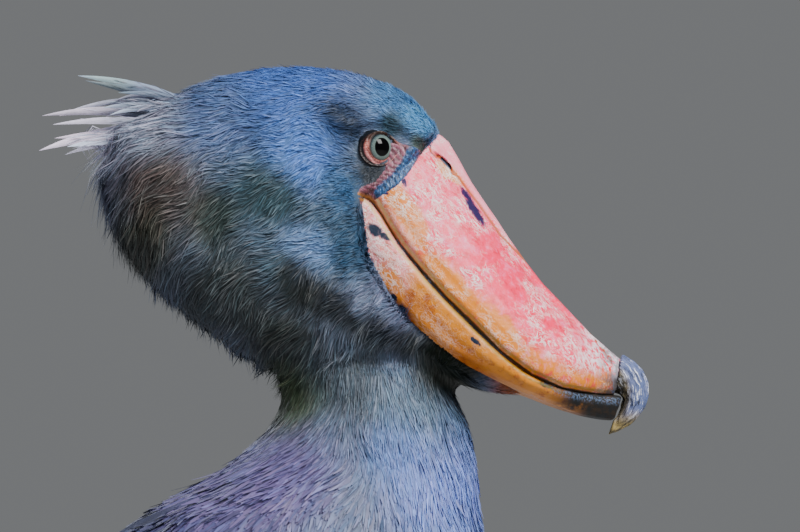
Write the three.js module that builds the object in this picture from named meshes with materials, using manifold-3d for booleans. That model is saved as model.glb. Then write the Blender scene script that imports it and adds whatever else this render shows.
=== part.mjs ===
// A shoebill standing at rest, life size, in millimetres: +X ahead, +Y to the bird's left, +Z up.
// It is laid out from its eyes, where x and z are zero, and moved at the end to stand on z = 0.
import * as THREE from "three";
import { mergeVertices } from "three/addons/utils/BufferGeometryUtils.js";
import Module from "manifold-3d";

const wasm = await Module();
wasm.setup();

// Driving sizes.
const EYE_HEIGHT = 1040; // pupils above the floor, with the neck drawn in
const GAP = 0.3; // clearance between neighbouring pieces
const SLIVER = 0.05; // cuts leave no edges shorter than this
const SIDES = { right: -1, left: 1 };
const FLOOR = -EYE_HEIGHT;

const EYE = { radius: 14.5, y: 31, ahead: 22, down: 4, opening: 10 }; // angles in degrees
const LID_THICKNESS = 2.2;
const NECK_CUT = -142; // where the head's loose feathers end on the neck
const TORSO_CUT = -205; // where the neck runs into the shoulders

// Stations of the long forms. A row of "along x" is x, top, bottom, half width.
const CRANIUM = [
  [46, -6, -6, 0],
  [41, 6, -24, 20],
  [34, 17, -40, 30],
  [20, 34, -55, 39],
  [0, 43.5, -70, 45],
  [-25, 51.5, -84, 49],
  [-52, 55, -90, 51],
  [-85, 52.5, -84, 50],
  [-118, 43, -76, 45],
  [-148, 27, -62, 35],
  [-168, 8, -44, 20],
  [-176, -18, -18, 0],
];
const RUFF = [
  [40, -122, -122, 0],
  [28, -96, -137, 36],
  [8, -52, -146, 50],
  [-10, -14, -150, 57],
  [-38, 18, -151, 61],
  [-75, 24, -142, 62],
  [-112, 26, -117, 57],
  [-145, 24, -89, 46],
  [-168, 14, -58, 29],
  [-180, -22, -22, 0],
];
const TORSO = [
  [72, -275, -275, 0],
  [64, -222, -330, 44],
  [40, -196, -392, 80],
  [0, -184, -446, 101],
  [-50, -188, -488, 115],
  [-110, -208, -514, 121],
  [-172, -244, -526, 121],
  [-235, -284, -529, 115],
  [-305, -329, -524, 102],
  [-375, -374, -510, 82],
  [-440, -413, -492, 58],
  [-492, -440, -481, 37],
  [-524, -464, -464, 0],
];
// A row of the neck is z, front x, back x, half width.
const NECK = [
  [-85, -8, -8, 0],
  [-100, 30, -55, 36],
  [-132, 41, -66, 44],
  [-155, 48, -66, 47],
  [-172, 57, -71, 54],
  [-191, 62, -91, 66],
  [-210, 65, -118, 82],
  [-243, 66, -165, 102],
  [-300, 60, -160, 100],
  [-330, -40, -40, 0],
];

// The bill in side view: culmen with the tomium below it, and the tomium with the jaw's lower edge.
const UPPER_BILL = [
  [12, 22, -34, -20],
  [36, 9, -12, -32],
  [45, 1, -3, -38],
  [57, -21, 9, -58],
  [70, -40, 25, -79],
  [84, -61, 41, -97],
  [101, -84, 60, -116],
  [117, -101, 80, -135],
  [134, -119, 102, -149],
  [148, -131, 122, -155],
  [158, -140, 140, -157],
  [163, -150, 152, -158],
];
const LOWER_BILL = [
  [-26, -24, -46, -48],
  [-5, -36, -28, -62],
  [12, -62, -10, -85],
  [33, -88, 10, -106],
  [52, -108, 32, -127],
  [72, -128, 57, -141],
  [92, -144, 80, -152],
  [114, -153.5, 107, -163],
  [133, -156.7, 132, -171],
  [148, -158, 148, -172],
  [153, -163, 153, -166],
];
// Tomium x and the bill's half width there.
const BILL_WIDTH = [
  [-50, 34],
  [-20, 40],
  [10, 46],
  [40, 50.5],
  [70, 50],
  [100, 42],
  [125, 28],
  [145, 14],
  [156, 7],
];
const CULMEN_RIDGE = 7.5; // half width of the raised keel
const NAIL = { cut: [150, -144], lean: 12 }; // the hooked tip starts here, turned by so many degrees
// Hooked nail: centre x, z, half width, half height.
const HOOK = [
  [140, -139, 15, 10],
  [150, -143, 13.5, 12],
  [159, -150, 11, 10.5],
  [161, -160, 8, 8],
  [156, -169, 5.2, 6],
  [147, -179, 0, 0],
];
// Feather edge round the bill's base in side view, from forehead to throat.
const FACE_EDGE = [
  [70, 60],
  [40, 20],
  [36, 9],
  [25, -4],
  [-1, -28],
  [-12.5, -32],
  [-11.5, -52],
  [-9.5, -71],
  [-1, -87],
  [9.5, -106],
  [22, -120],
  [33, -129],
  [37, -150],
  [37, -215],
];

// Legs. Stations of a limb are x, y (outwards), z above the floor, half width, half depth.
const STANCE = { y: 66, stagger: 16 };
const FEATHERED_SHANK = [
  [-130, 58, 640, 0, 0],
  [-134, 60, 600, 42, 64],
  [-142, 61, 545, 43, 66],
  [-156, 64, 490, 39, 53],
  [-172, 65, 440, 27, 36],
  [-183, 66, 405, 18, 23],
  [-188, 66, 388, 0, 0],
];
const BARE_SHANK = [
  [-176, 66, 430, 0, 0],
  [-178, 66, 424, 10.5, 12],
  [-190, 66, 360, 9.5, 11.5],
  [-201, 66, 305, 10, 12],
  [-208, 66, 278, 13.5, 17],
  [-212, 66, 262, 14.5, 19],
  [-211, 66, 243, 12.5, 16],
  [-208, 66, 228, 0, 0],
];
const TARSUS = [
  [-212, 66, 262, 0, 0],
  [-209, 66, 240, 10, 12],
  [-202, 66, 205, 8.6, 10.5],
  [-189, 66, 130, 8.4, 10],
  [-177, 66, 58, 9.2, 11],
  [-171, 66, 26, 12, 13],
  [-169, 66, 10, 12.5, 14],
  [-168, 66, -4, 0, 0],
];
const HEEL_CUT = 250; // the shank and the tarsus part here
const FOOT_X = -170;
// Each toe: heading from straight ahead (outwards), length to the claw, half width at the root.
const TOES = {
  inner_toe: { heading: -24, length: 122, half: 8.4, joints: 2 },
  middle_toe: { heading: 4, length: 168, half: 9, joints: 3 },
  outer_toe: { heading: 32, length: 136, half: 8.2, joints: 4 },
  hind_toe: { heading: 174, length: 74, half: 8, joints: 1 },
};
const CLAW = { length: 24, half: 4.6 };
const CLAW_ROOT = 4; // how far toe and claw would reach into each other, before they are parted
const TOE_SIDES = 8;

// Folded wing: x, then lower edge y, z, swell y, upper edge y, z.
const WING = [
  [20, 72, -330, 80, 64, -292],
  [4, 88, -366, 104, 66, -244],
  [-26, 104, -408, 127, 58, -199],
  [-72, 114, -446, 140, 46, -195],
  [-132, 117, -474, 145, 34, -212],
  [-210, 112, -494, 144, 22, -256],
  [-300, 97, -502, 131, 12, -312],
  [-400, 73, -496, 103, 7, -374],
  [-500, 49, -490, 70, 6, -428],
  [-590, 30, -498, 42, 6, -464],
];
const WING_DEPTH = 16;
const WING_CORE = 0.76; // share of the wing's length that is flesh

// Wing feathers in tiers, from the one nearest the tip to the one nearest the shoulder. Places are
// shares along the wing and up it, given for a tier's lowest and highest feather: root, then tip.
const WING_TIERS = [
  {
    count: 5,
    half: 12,
    rise: 2,
    step: 1.7,
    outline: "broad",
    root: [[0.55, 0.1], [0.53, 0.72]],
    tip: [[0.985, 0.24], [0.9, 0.8]],
  },
  {
    count: 7,
    half: 22,
    rise: 9.5,
    step: 1.1,
    outline: "broad",
    root: [[0.37, 0.07], [0.39, 0.92]],
    tip: [[0.73, 0.05], [0.88, 0.93]],
  },
  {
    count: 7,
    half: 19,
    rise: 9,
    step: 0.3,
    outline: "short",
    root: [[0.25, 0.06], [0.23, 0.74]],
    tip: [[0.5, 0.03], [0.55, 0.76]],
  },
  {
    count: 6,
    half: 18,
    rise: 9,
    step: 0.3,
    outline: "short",
    root: [[0.11, 0.1], [0.12, 0.74]],
    tip: [[0.33, 0.05], [0.36, 0.74]],
  },
  {
    count: 2,
    half: 15,
    rise: 10,
    step: 1,
    outline: "short",
    root: [[0.15, 0.87], [0.16, 0.96]],
    tip: [[0.42, 0.86], [0.44, 0.97]],
  },
];
const TIER_TILT = 0.11; // fall of a feather towards its upper edge, which the next one covers
const ROOT_SUNK = 5.5; // depth of a feather's root under the wing's face
const CORE_SUNK = 2; // depth of the flesh under the same face

// Tail: the fan's root, slope, spread from the middle, and its core's half width and depth.
const TAIL = { x: -496, z: -466, drop: 32, spread: 10.5, rootHalf: 32, rootDepth: 15, step: 1.35 };
// Tail feathers, then the shorter coverts over them: how many, length, half width, rise.
const TAIL_TIERS = [
  { count: 10, length: 178, half: 15, rise: 0, lift: -2 },
  { count: 5, length: 84, half: 14, rise: 6, lift: 5 },
];

// Crest feathers: root x, y, z, then heading from straight back, rise in degrees, and length.
const CREST = [
  [-130, 4, 31, 2, 13, 62],
  [-131, -5, 30, -4, 10, 55],
  [-137, 12, 22, 7, 5, 60],
  [-138, 1, 23, 0, 2, 76],
  [-138, -10, 22, -6, 4, 64],
  [-146, 16, 9, 10, -5, 52],
  [-148, 6, 11, 3, -8, 66],
  [-148, -6, 11, -4, -6, 70],
  [-146, -17, 9, -11, -4, 54],
  [-156, 8, -2, 5, -16, 46],
  [-156, -9, -2, -5, -18, 50],
];
const CREST_HALF = 4.6;

// A feather's outline: share of its length, share of its half width.
const OUTLINES = {
  broad: [
    [0, 0.4],
    [0.34, 0.95],
    [0.7, 1],
    [0.92, 0.62],
  ],
  short: [
    [0, 0.45],
    [0.42, 1],
    [0.86, 0.74],
  ],
  lance: [
    [0, 0.5],
    [0.3, 1],
    [0.7, 0.62],
  ],
};
const VANE = { shaft: 1.2, edge: 0.7 }; // thickness

// Raised plates along the top of each toe, and the slit of each nostril.
const SCUTES = { perJoint: 2, rise: 0.9, lip: 0.06 };
const NOSTRIL = { from: [33, -3], to: [49, -18], y: 15, half: 1.3, depth: 4 };

// Plain words for the finishes.
const finish = (color, roughness) => new THREE.MeshStandardMaterial({ color, roughness, metalness: 0 });
const MATERIALS = {
  head_feathers: finish(0x62768c, 0.85),
  neck_feathers: finish(0x8a919e, 0.85),
  body_feathers: finish(0x767587, 0.85),
  wing_feathers: finish(0x667080, 0.8),
  tail_feathers: finish(0x545b68, 0.8),
  leg_feathers: finish(0x7b7f8a, 0.85),
  bill_horn: finish(0xe0917c, 0.45),
  jaw_horn: finish(0xd9964c, 0.45),
  nail_horn: finish(0x6f6a55, 0.5),
  throat_skin: finish(0x5f655c, 0.8),
  eye: finish(0xaebbb8, 0.1),
  leg_skin: finish(0x55534e, 0.75),
  claw_horn: finish(0x35322c, 0.5),
};

const radians = THREE.MathUtils.degToRad;
const V = (x, y, z) => new THREE.Vector3(x, y, z);

// Smooth value of a list of stations at t from 0 to 1, number by number.
function between(stations, t) {
  const last = stations.length - 1;
  const place = Math.min(t * last, last - 1e-9);
  const i = Math.floor(place);
  const f = place - i;
  const row = (k) => stations[Math.max(0, Math.min(last, k))];
  return row(i).map((b, n) => {
    const a = row(i - 1)[n];
    const c = row(i + 1)[n];
    const d = row(i + 2)[n];
    return b + 0.5 * f * (c - a + f * (2 * a - 5 * b + 4 * c - d + f * (3 * (b - c) + d - a)));
  });
}

// Straight-line value of a two-column table, held at its ends.
function lookUp(table, x) {
  const i = table.findIndex((row) => row[0] >= x);
  if (i <= 0) return i === 0 ? table[0][1] : table.at(-1)[1];
  const [[x0, y0], [x1, y1]] = [table[i - 1], table[i]];
  return y0 + ((y1 - y0) * (x - x0)) / (x1 - x0);
}

// A closed geometry as a solid, with its faces turned outwards.
function solidOf(geometry) {
  const bare = geometry.clone();
  bare.deleteAttribute("normal");
  bare.deleteAttribute("uv");
  const merged = mergeVertices(bare, 1e-4);
  const at = merged.attributes.position;
  const kept = [];
  let volume = 0;
  for (let i = 0; i < merged.index.count; i += 3) {
    const [a, b, c] = [0, 1, 2].map((k) => merged.index.getX(i + k));
    if (a === b || b === c || c === a) continue;
    const [pa, pb, pc] = [a, b, c].map((k) => V(0, 0, 0).fromBufferAttribute(at, k));
    volume += pa.dot(pb.cross(pc));
    kept.push(a, b, c);
  }
  if (volume < 0) kept.reverse();
  const mesh = new wasm.Mesh({
    numProp: 3,
    vertProperties: new Float32Array(at.array),
    triVerts: new Uint32Array(kept),
  });
  mesh.merge();
  return new wasm.Manifold(mesh);
}

// A solid back as a geometry for a mesh.
function geometryOf(solid) {
  const mesh = solid.getMesh();
  const geometry = new THREE.BufferGeometry();
  geometry.setAttribute("position", new THREE.BufferAttribute(mesh.vertProperties, 3));
  geometry.setIndex(new THREE.BufferAttribute(mesh.triVerts, 1));
  geometry.computeVertexNormals();
  return geometry;
}

// Only the largest closed surface of a solid.
const largest = (solid) => solid.decompose().reduce((a, b) => (b.volume() > a.volume() ? b : a));

// A ball's grid with each point put in place by its angle round and its share along.
function organic(around, along, place) {
  const geometry = new THREE.SphereGeometry(1, around, along);
  const at = geometry.attributes.position;
  for (let row = 0; row <= along; row++) {
    for (let column = 0; column <= around; column++) {
      const angle = ((column % around) / around) * 2 * Math.PI;
      const pole = row === 0 || row === along;
      const p = place(pole ? 0 : angle, row / along);
      at.setXYZ(row * (around + 1) + column, p.x, p.y, p.z);
    }
  }
  return solidOf(geometry);
}

// Rounded outline: 2 is an ellipse, more is boxier.
const rounded = (value, power) => Math.sign(value) * Math.abs(value) ** (2 / power);

// A body whose sections stand across x, grown outwards by so much.
function alongX(stations, { around, along, power = 2.2, grow = 0 }) {
  return organic(around, along, (angle, t) => {
    const [x, top, bottom, half] = between(stations, t);
    const swell = t === 0 || t === 1 ? 0 : grow;
    const y = (half + swell) * rounded(Math.cos(angle), power);
    const z = (top + bottom) / 2 + ((top - bottom) / 2 + swell) * rounded(Math.sin(angle), power);
    return V(x + grow * Math.cos(Math.PI * t), y, z);
  });
}

// A body whose sections lie level, grown outwards by so much.
function alongZ(stations, { around, along, grow = 0 }) {
  return organic(around, along, (angle, t) => {
    const [z, front, back, half] = between(stations, t);
    const swell = t === 0 || t === 1 ? 0 : grow;
    const x = (front + back) / 2 + ((front - back) / 2 + swell) * Math.cos(angle);
    const beyond = t === 0 ? grow : t === 1 ? -grow : 0;
    return V(x, (half + swell) * Math.sin(angle), z + beyond);
  });
}

// A limb whose sections stand across its own path.
function limb(stations, side, { around, along, grow = 0 }) {
  const centre = (t) => {
    const [x, y, z] = between(stations, t);
    return V(x, y * side, z + FLOOR);
  };
  return organic(around, along, (angle, t) => {
    const [, , , halfWidth, halfDepth] = between(stations, t);
    const ahead = centre(Math.min(1, t + 0.01)).sub(centre(Math.max(0, t - 0.01))).normalize();
    const across = V(0, 1, 0);
    const deep = V(0, 0, 0).crossVectors(across, ahead).normalize();
    const swell = t === 0 || t === 1 ? 0 : grow;
    return centre(t)
      .addScaledVector(across, (halfWidth + swell) * Math.cos(angle))
      .addScaledVector(deep, (halfDepth + swell) * Math.sin(angle));
  });
}

// A plate with this outline in side view, right across the bird.
function sidePlate(points, halfWidth) {
  const shape = new THREE.Shape(points.map(([x, z]) => new THREE.Vector2(x, z)));
  const geometry = new THREE.ExtrudeGeometry(shape, { depth: 2 * halfWidth, bevelEnabled: false });
  geometry.rotateX(Math.PI / 2);
  geometry.translate(0, halfWidth, 0);
  return solidOf(geometry);
}

// Everything above or below a level.
const FAR = 900;
function levels(from, to) {
  const geometry = new THREE.BoxGeometry(2 * FAR, 2 * FAR, to - from);
  geometry.translate(0, 0, (from + to) / 2);
  return solidOf(geometry);
}

// Everything on one side of the bird's middle, with the clearance beyond it.
function ownSide(side) {
  const geometry = new THREE.BoxGeometry(2 * FAR, FAR, 2 * FAR);
  geometry.translate(0, side * (FAR / 2 - GAP), 0);
  return solidOf(geometry);
}

function ball(centre, radius, around = 24) {
  const geometry = new THREE.SphereGeometry(radius, around, around / 2);
  geometry.rotateX(Math.PI / 2);
  geometry.translate(centre.x, centre.y, centre.z);
  return solidOf(geometry);
}

const root = new THREE.Group();

// Adds a named piece to the bird.
function add(name, solid, material) {
  const mesh = new THREE.Mesh(geometryOf(largest(solid).simplify(SLIVER)), MATERIALS[material]);
  mesh.name = name;
  root.add(mesh);
}

// Space in front of the feather edge, where the bill stands free of the head.
function faceSpace(shift) {
  const edge = new THREE.SplineCurve(FACE_EDGE.map(([x, z]) => new THREE.Vector2(x + shift, z)));
  const points = edge.getPoints(2 * FACE_EDGE.length).map((p) => [p.x, p.y]);
  return sidePlate([...points, [300, -215], [300, 60]], 120);
}

// Direction in which an eye looks.
function gaze(side) {
  const turn = radians(EYE.ahead);
  const dip = radians(EYE.down);
  return V(Math.sin(turn), side * Math.cos(turn) * Math.cos(dip), -Math.sin(dip)).normalize();
}

const eyeCentre = (side) => V(0, side * EYE.y, 0);

// Lids: a thin dome round the eye with a round opening where the eye looks out.
function lids(side) {
  const centre = eyeCentre(side);
  const dome = ball(centre, EYE.radius + LID_THICKNESS, 16);
  const hole = new THREE.CylinderGeometry(EYE.opening * 1.25, EYE.opening * 0.8, 30, 16);
  hole.translate(0, 15, 0);
  hole.applyQuaternion(new THREE.Quaternion().setFromUnitVectors(V(0, 1, 0), gaze(side)));
  hole.translate(centre.x, centre.y, centre.z);
  return dome.subtract(solidOf(hole));
}

// One feather: a thin closed vane, thickest along its shaft. Each point is put in place by its share
// along, its distance across and its height over the feather's own face.
function vane(outline, half, place) {
  const rows = outline.length;
  const points = [];
  for (const face of [0.5, -0.5]) {
    for (const [u, share] of outline) {
      points.push(place(u, -half * share, face * VANE.edge));
      points.push(place(u, 0, face * VANE.shaft));
      points.push(place(u, half * share, face * VANE.edge));
    }
    points.push(place(1, 0, face * VANE.edge));
  }
  const under = 3 * rows + 1;
  const tip = 3 * rows;
  const faces = [];
  const both = (a, b, c) => faces.push(a, b, c, under + a, under + c, under + b);
  const wall = (a, b) => faces.push(b, a, under + a, b, under + a, under + b);
  for (let a = 0; a < tip - 3; a += 3) {
    for (const side of [a, a + 1]) {
      both(side, side + 3, side + 1);
      both(side + 1, side + 3, side + 4);
    }
    wall(a, a + 3);
    wall(a + 5, a + 2);
  }
  both(tip - 3, tip, tip - 2);
  both(tip - 2, tip, tip - 1);
  wall(tip - 3, tip);
  wall(tip, tip - 1);
  wall(1, 0);
  wall(2, 1);
  const geometry = new THREE.BufferGeometry();
  const flat = points.flatMap((p) => p.toArray());
  geometry.setAttribute("position", new THREE.Float32BufferAttribute(flat, 3));
  geometry.setIndex(faces);
  return solidOf(geometry);
}

// Crest feathers stand back from the hind crown, each lance bending up a little to its tip.
function crest() {
  const feathers = CREST.map(([x, y, z, heading, rise, length]) => {
    const turn = radians(heading);
    const lift = radians(rise);
    const back = V(-Math.cos(turn) * Math.cos(lift), Math.sin(turn) * Math.cos(lift), Math.sin(lift));
    const across = V(0, 0, 1).cross(back).normalize();
    const up = V(0, 0, 0).crossVectors(back, across).normalize();
    return vane(OUTLINES.lance, CREST_HALF, (u, w, h) =>
      V(x + 8, y, z)
        .addScaledVector(back, (length + 8) * u)
        .addScaledVector(across, w)
        .addScaledVector(up, h + 0.05 * length * u * u - 0.06 * Math.abs(w)),
    );
  });
  return wasm.Manifold.union(feathers);
}

const cranium = (grow) => alongX(CRANIUM, { around: 20, along: 15, power: 2.3, grow });
const ruff = (grow) => alongX(RUFF, { around: 20, along: 13, power: 2.5, grow });
const neckForm = (grow) => alongZ(NECK, { around: 24, along: 16, grow });
const torsoForm = (grow) => alongX(TORSO, { around: 24, along: 18, power: 2.25, grow });
const trunk = torsoForm(0).add(neckForm(0));

function head() {
  let solid = cranium(0).add(ruff(0)).add(lids(1)).add(lids(-1)).add(crest());
  solid = solid.subtract(faceSpace(0)).intersect(levels(NECK_CUT, FAR));
  for (const side of Object.values(SIDES)) {
    solid = solid.subtract(ball(eyeCentre(side), EYE.radius + GAP, 16));
  }
  return solid;
}

// Half of a bill section, from the cutting edge up over the keel: share of width, share of height.
const UPPER_SECTION = [
  [0.9, 0],
  [0.99, 0.08],
  [1, 0.22],
  [0.93, 0.42],
  [0.79, 0.6],
  [0.58, 0.76],
  [0.36, 0.87],
];
const LOWER_SECTION = [
  [0.84, 0],
  [0.95, 0.12],
  [0.96, 0.42],
  [0.88, 0.78],
  [0.7, 1],
];

// A bill half as a loft of sections between an edge and a profile line.
function billForm(stations, section, along) {
  const half = section.length;
  const around = 2 * half;
  return organic(around, along, (angle, t) => {
    const [x0, z0, x1, z1] = between(stations, t);
    const column = Math.round((angle / (2 * Math.PI)) * around);
    const mirrored = column >= half;
    const [across, up] = section[mirrored ? around - 1 - column : column];
    const wide = typeof across === "function" ? across(t) : across * lookUp(BILL_WIDTH, x0);
    const pole = t === 0 || t === 1;
    const y = pole ? 0 : wide * (mirrored ? -1 : 1);
    const share = pole ? 0.4 : up;
    return V(x0 + (x1 - x0) * share, y, z0 + (z1 - z0) * share);
  });
}

// A nostril: a slit beside the ridge, near the forehead.
function nostril(side) {
  const [[x0, z0], [x1, z1]] = [NOSTRIL.from, NOSTRIL.to];
  const stations = [0, 0.3, 0.7, 1].map((t) => {
    const half = t === 0 || t === 1 ? 0 : NOSTRIL.half;
    return [x0 + (x1 - x0) * t, NOSTRIL.y, z0 + (z1 - z0) * t - FLOOR, half * NOSTRIL.depth, half];
  });
  return limb(stations, side, { around: 8, along: 6 });
}

// The keel is a narrow raised ridge with a groove on each side.
const keel = (t) => CULMEN_RIDGE * (1 - 0.35 * t);
const upperRows = UPPER_BILL.map(([cx, cz, tx, tz]) => [tx, tz + GAP, cx, cz]);
const upperSection = [
  ...UPPER_SECTION,
  [(t) => 1.25 * keel(t), 0.93],
  [(t) => 0.95 * keel(t), 0.985],
  [(t) => 0.3 * keel(t), 1],
];
const upperForm = billForm(upperRows, upperSection, 18);
const lowerForm = billForm(LOWER_BILL, LOWER_SECTION, 22);

// Space behind or ahead of the line where the nail begins.
function nailSpace(shift) {
  const geometry = new THREE.BoxGeometry(80, 90, 120);
  geometry.translate(40 + shift, 0, 0);
  geometry.rotateY(radians(NAIL.lean));
  geometry.translate(NAIL.cut[0], 0, NAIL.cut[1]);
  return solidOf(geometry);
}

function nail() {
  const stations = HOOK.map(([x, z, half, high]) => [x, 0, z - FLOOR, half, high]);
  return limb(stations, 1, { around: 12, along: 11 }).intersect(nailSpace(GAP));
}

function eye(side) {
  return ball(eyeCentre(side), EYE.radius, 16);
}

// Gular pouch below the jaw, between the bill and the neck.
const THROAT = [
  [2, -112, -112, 0],
  [8, -98, -128, 34],
  [24, -108, -137, 41],
  [42, -120, -148, 40],
  [62, -134, -155, 34],
  [84, -146, -158, 24],
  [100, -156, -156, 0],
];

// Outer face of a folded wing: s from the bend to the tip, v from the lower edge to the upper.
function wingPoint(s, v, side, lift = 0) {
  const [x, lowY, lowZ, swell, highY, highZ] = between(WING, s);
  const bulge = 4 * v * (1 - v);
  const y = lowY + (highY - lowY) * v + (swell - (lowY + highY) / 2) * bulge;
  const z = lowZ + (highZ - lowZ) * v;
  return V(x, side * (y + lift), z);
}

// A wing feather laid along the wing from its root to its tip, rising off it like a tile.
function wingFeather(side, { root: from, tip: to, half, rise, lift, outline }) {
  return vane(OUTLINES[outline], half, (u, w, h) => {
    const s = from[0] + (to[0] - from[0]) * u;
    const v = from[1] + (to[1] - from[1]) * u;
    const here = wingPoint(s, v, side);
    const ahead = wingPoint(s + 0.01, v + 0.01 * (to[1] - from[1]), side).sub(here).normalize();
    const up = wingPoint(s, v + 0.02, side).sub(wingPoint(s, v - 0.02, side));
    const across = up.addScaledVector(ahead, -up.dot(ahead)).normalize();
    const out = V(0, 0, 0).crossVectors(across, ahead).multiplyScalar(side).normalize();
    const height = (rise + lift + ROOT_SUNK) * u ** 0.5 - ROOT_SUNK - TIER_TILT * w;
    return here.addScaledVector(across, w).addScaledVector(out, height + h);
  });
}

// Place of one feather of a tier, from its lowest to its highest.
function inTier(tier, order) {
  const share = order / (tier.count - 1);
  const mix = ([low, high]) => [0, 1].map((k) => low[k] + (high[k] - low[k]) * share);
  const { half, rise, step, outline } = tier;
  return { root: mix(tier.root), tip: mix(tier.tip), half, rise, lift: step * order, outline };
}

function wingFeathers(side) {
  const feathers = [];
  for (const tier of WING_TIERS) {
    for (let i = 0; i < tier.count; i++) feathers.push(wingFeather(side, inTier(tier, i)));
  }
  return feathers;
}

// The fleshy part of a folded wing, which the feathers grow from.
function wingCore(side) {
  return organic(12, 9, (angle, t) => {
    const v = 0.5 - 0.46 * Math.cos(angle);
    const depth = (Math.sin(angle) < 0 ? WING_DEPTH * Math.sin(angle) : 0) - CORE_SUNK;
    const pole = t === 0 || t === 1;
    return wingPoint(WING_CORE * t, pole ? 0.5 : v, side, pole ? 0 : depth);
  });
}

// One tail feather: the middle ones lie on top, the outer ones fan out under them.
function tailFeather({ count, length, half, rise, lift }, index) {
  const rank = index - (count - 1) / 2;
  const turn = radians((TAIL.spread * rank * 2) / (count - 1));
  const slope = radians(TAIL.drop);
  const level = 2 * Math.floor(Math.abs(rank)) + (rank > 0 ? 1 : 0);
  return vane(OUTLINES.broad, half, (u, w, h) => {
    const reach = length * (1 - 0.0016 * rank * rank) * u;
    const back = reach * Math.cos(turn) - w * Math.sin(turn) - 20;
    const y = reach * Math.sin(turn) + w * Math.cos(turn) + rank * 0.8 * TAIL.rootHalf * (2 / count);
    const up = lift + rise * u - TAIL.step * level + h;
    return V(
      TAIL.x - back * Math.cos(slope) + up * Math.sin(slope),
      y,
      TAIL.z - back * Math.sin(slope) + up * Math.cos(slope),
    );
  });
}

function tailCore() {
  const slope = radians(TAIL.drop);
  return organic(16, 10, (angle, t) => {
    const round = Math.sin(Math.PI * t) ** 0.6;
    const back = -60 + 100 * t;
    const up = TAIL.rootDepth * Math.sin(angle) * round - 8;
    return V(
      TAIL.x - back * Math.cos(slope) + up * Math.sin(slope),
      TAIL.rootHalf * Math.cos(angle) * round,
      TAIL.z - back * Math.sin(slope) + up * Math.cos(slope),
    );
  });
}

function tail() {
  const feathers = [];
  for (const tier of TAIL_TIERS) {
    for (let i = 0; i < tier.count; i++) feathers.push(tailFeather(tier, i));
  }
  return wasm.Manifold.union([tailCore(), ...feathers]).subtract(torsoForm(GAP));
}

// Steps of one leg forward of the other, so that the bird stands at ease.
const staggered = (stations, side) =>
  stations.map(([x, y, z, ...rest]) => [
    x + side * STANCE.stagger * Math.min(1, Math.max(0, (560 - z) / 300)),
    y,
    z,
    ...rest,
  ]);

// Frame of a toe: its start on the floor, its way ahead and the way across it.
function toeFrame(side, heading) {
  const turn = radians(heading);
  const ahead = V(Math.cos(turn), side * Math.sin(turn), 0);
  const across = V(-ahead.y, ahead.x, 0);
  const start = V(FOOT_X + side * STANCE.stagger, side * STANCE.y, FLOOR);
  return { ahead, across, start };
}

// Space along a toe's heading from one distance to another.
function toeSpan(side, heading, from, to) {
  const { start } = toeFrame(side, heading);
  const geometry = new THREE.BoxGeometry(to - from, 60, 60);
  geometry.translate((from + to) / 2, 0, 0);
  geometry.rotateZ(side * radians(heading));
  geometry.translate(start.x, start.y, start.z);
  return solidOf(geometry);
}

// A toe lies along the floor on flat pads, thicker at each joint, its top in raised plates. Each plate
// rises from under the one behind it to a lip at its own far end.
function toe(side, { heading, length, half, joints }, grow = 0) {
  const { ahead, across, start } = toeFrame(side, heading);
  const plates = joints * SCUTES.perJoint + 1;
  const rows = 2 * plates;
  const solid = organic(TOE_SIDES, rows, (angle, step) => {
    const row = Math.round(step * rows);
    const lip = row % 2 === 1 && row < rows - 1;
    const end = row === 0 || row === rows;
    const t = end ? row / rows : (Math.ceil(row / 2) - (lip ? SCUTES.lip : 0)) / plates;
    const bare = half * (1 - 0.32 * t);
    const pad = 1 + 0.1 * Math.cos(2 * Math.PI * joints * t);
    const ends = Math.min(1, 9 * t, 7 * (1 - t)) ** 0.6;
    const plate = lip && Math.sin(angle) > 0.2 ? SCUTES.rise : 0;
    const radius = step === 0 || step === 1 ? 0 : bare * pad * ends + plate + grow;
    return start
      .clone()
      .addScaledVector(ahead, (length + CLAW_ROOT) * t)
      .addScaledVector(across, radius * Math.cos(angle))
      .add(V(0, 0, 0.82 * bare * pad + radius * Math.sin(angle)));
  });
  return solid.intersect(levels(FLOOR, FAR)).intersect(toeSpan(side, heading, -40, length));
}

const legParts = {};
for (const [name, side] of Object.entries(SIDES)) {
  const tarsus = limb(staggered(TARSUS, side), side, { around: 10, along: 10 });
  const shank = limb(staggered(BARE_SHANK, side), side, { around: 10, along: 10 });
  legParts[name] = { tarsus, shank };
}

// A curved claw beyond the end of its toe, its tip near the floor.
function claw(side, { heading, length, half }) {
  const { ahead, across, start } = toeFrame(side, heading);
  const solid = organic(6, 5, (angle, t) => {
    const radius = CLAW.half * Math.min(1, 4 * t) ** 0.5 * (1 - t) ** 0.7;
    const height = half * 0.62 * (1 - t * t) + CLAW.half * 0.35 * Math.sin(Math.PI * t) + 0.6;
    return start
      .clone()
      .addScaledVector(ahead, length - CLAW_ROOT + (CLAW.length + CLAW_ROOT) * t)
      .addScaledVector(across, 0.72 * radius * Math.cos(angle))
      .add(V(0, 0, Math.max(height, radius + 0.2) + radius * Math.sin(angle)));
  });
  return solid.intersect(toeSpan(side, heading, length + GAP, length + 2 * CLAW.length));
}

// The bird, from the head down.
add("head", head().subtract(trunk.intersect(levels(-FAR, NECK_CUT + GAP))), "head_feathers");
for (const [name, side] of Object.entries(SIDES)) add(`eye_${name}`, eye(side), "eye");

const bill = faceSpace(GAP);
const upper = upperForm.intersect(bill).subtract(nailSpace(0)).subtract(nostril(1)).subtract(nostril(-1));
add("upper_bill", upper, "bill_horn");
const hook = nail().subtract(lowerForm);
const lower = lowerForm
  .intersect(bill)
  .subtract(nailSpace(-3))
  .subtract(upperForm)
  .subtract(upperForm.translate([-GAP, 0, -GAP]));
add("bill_nail", hook, "nail_horn");
add("lower_bill", lower, "jaw_horn");

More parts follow.
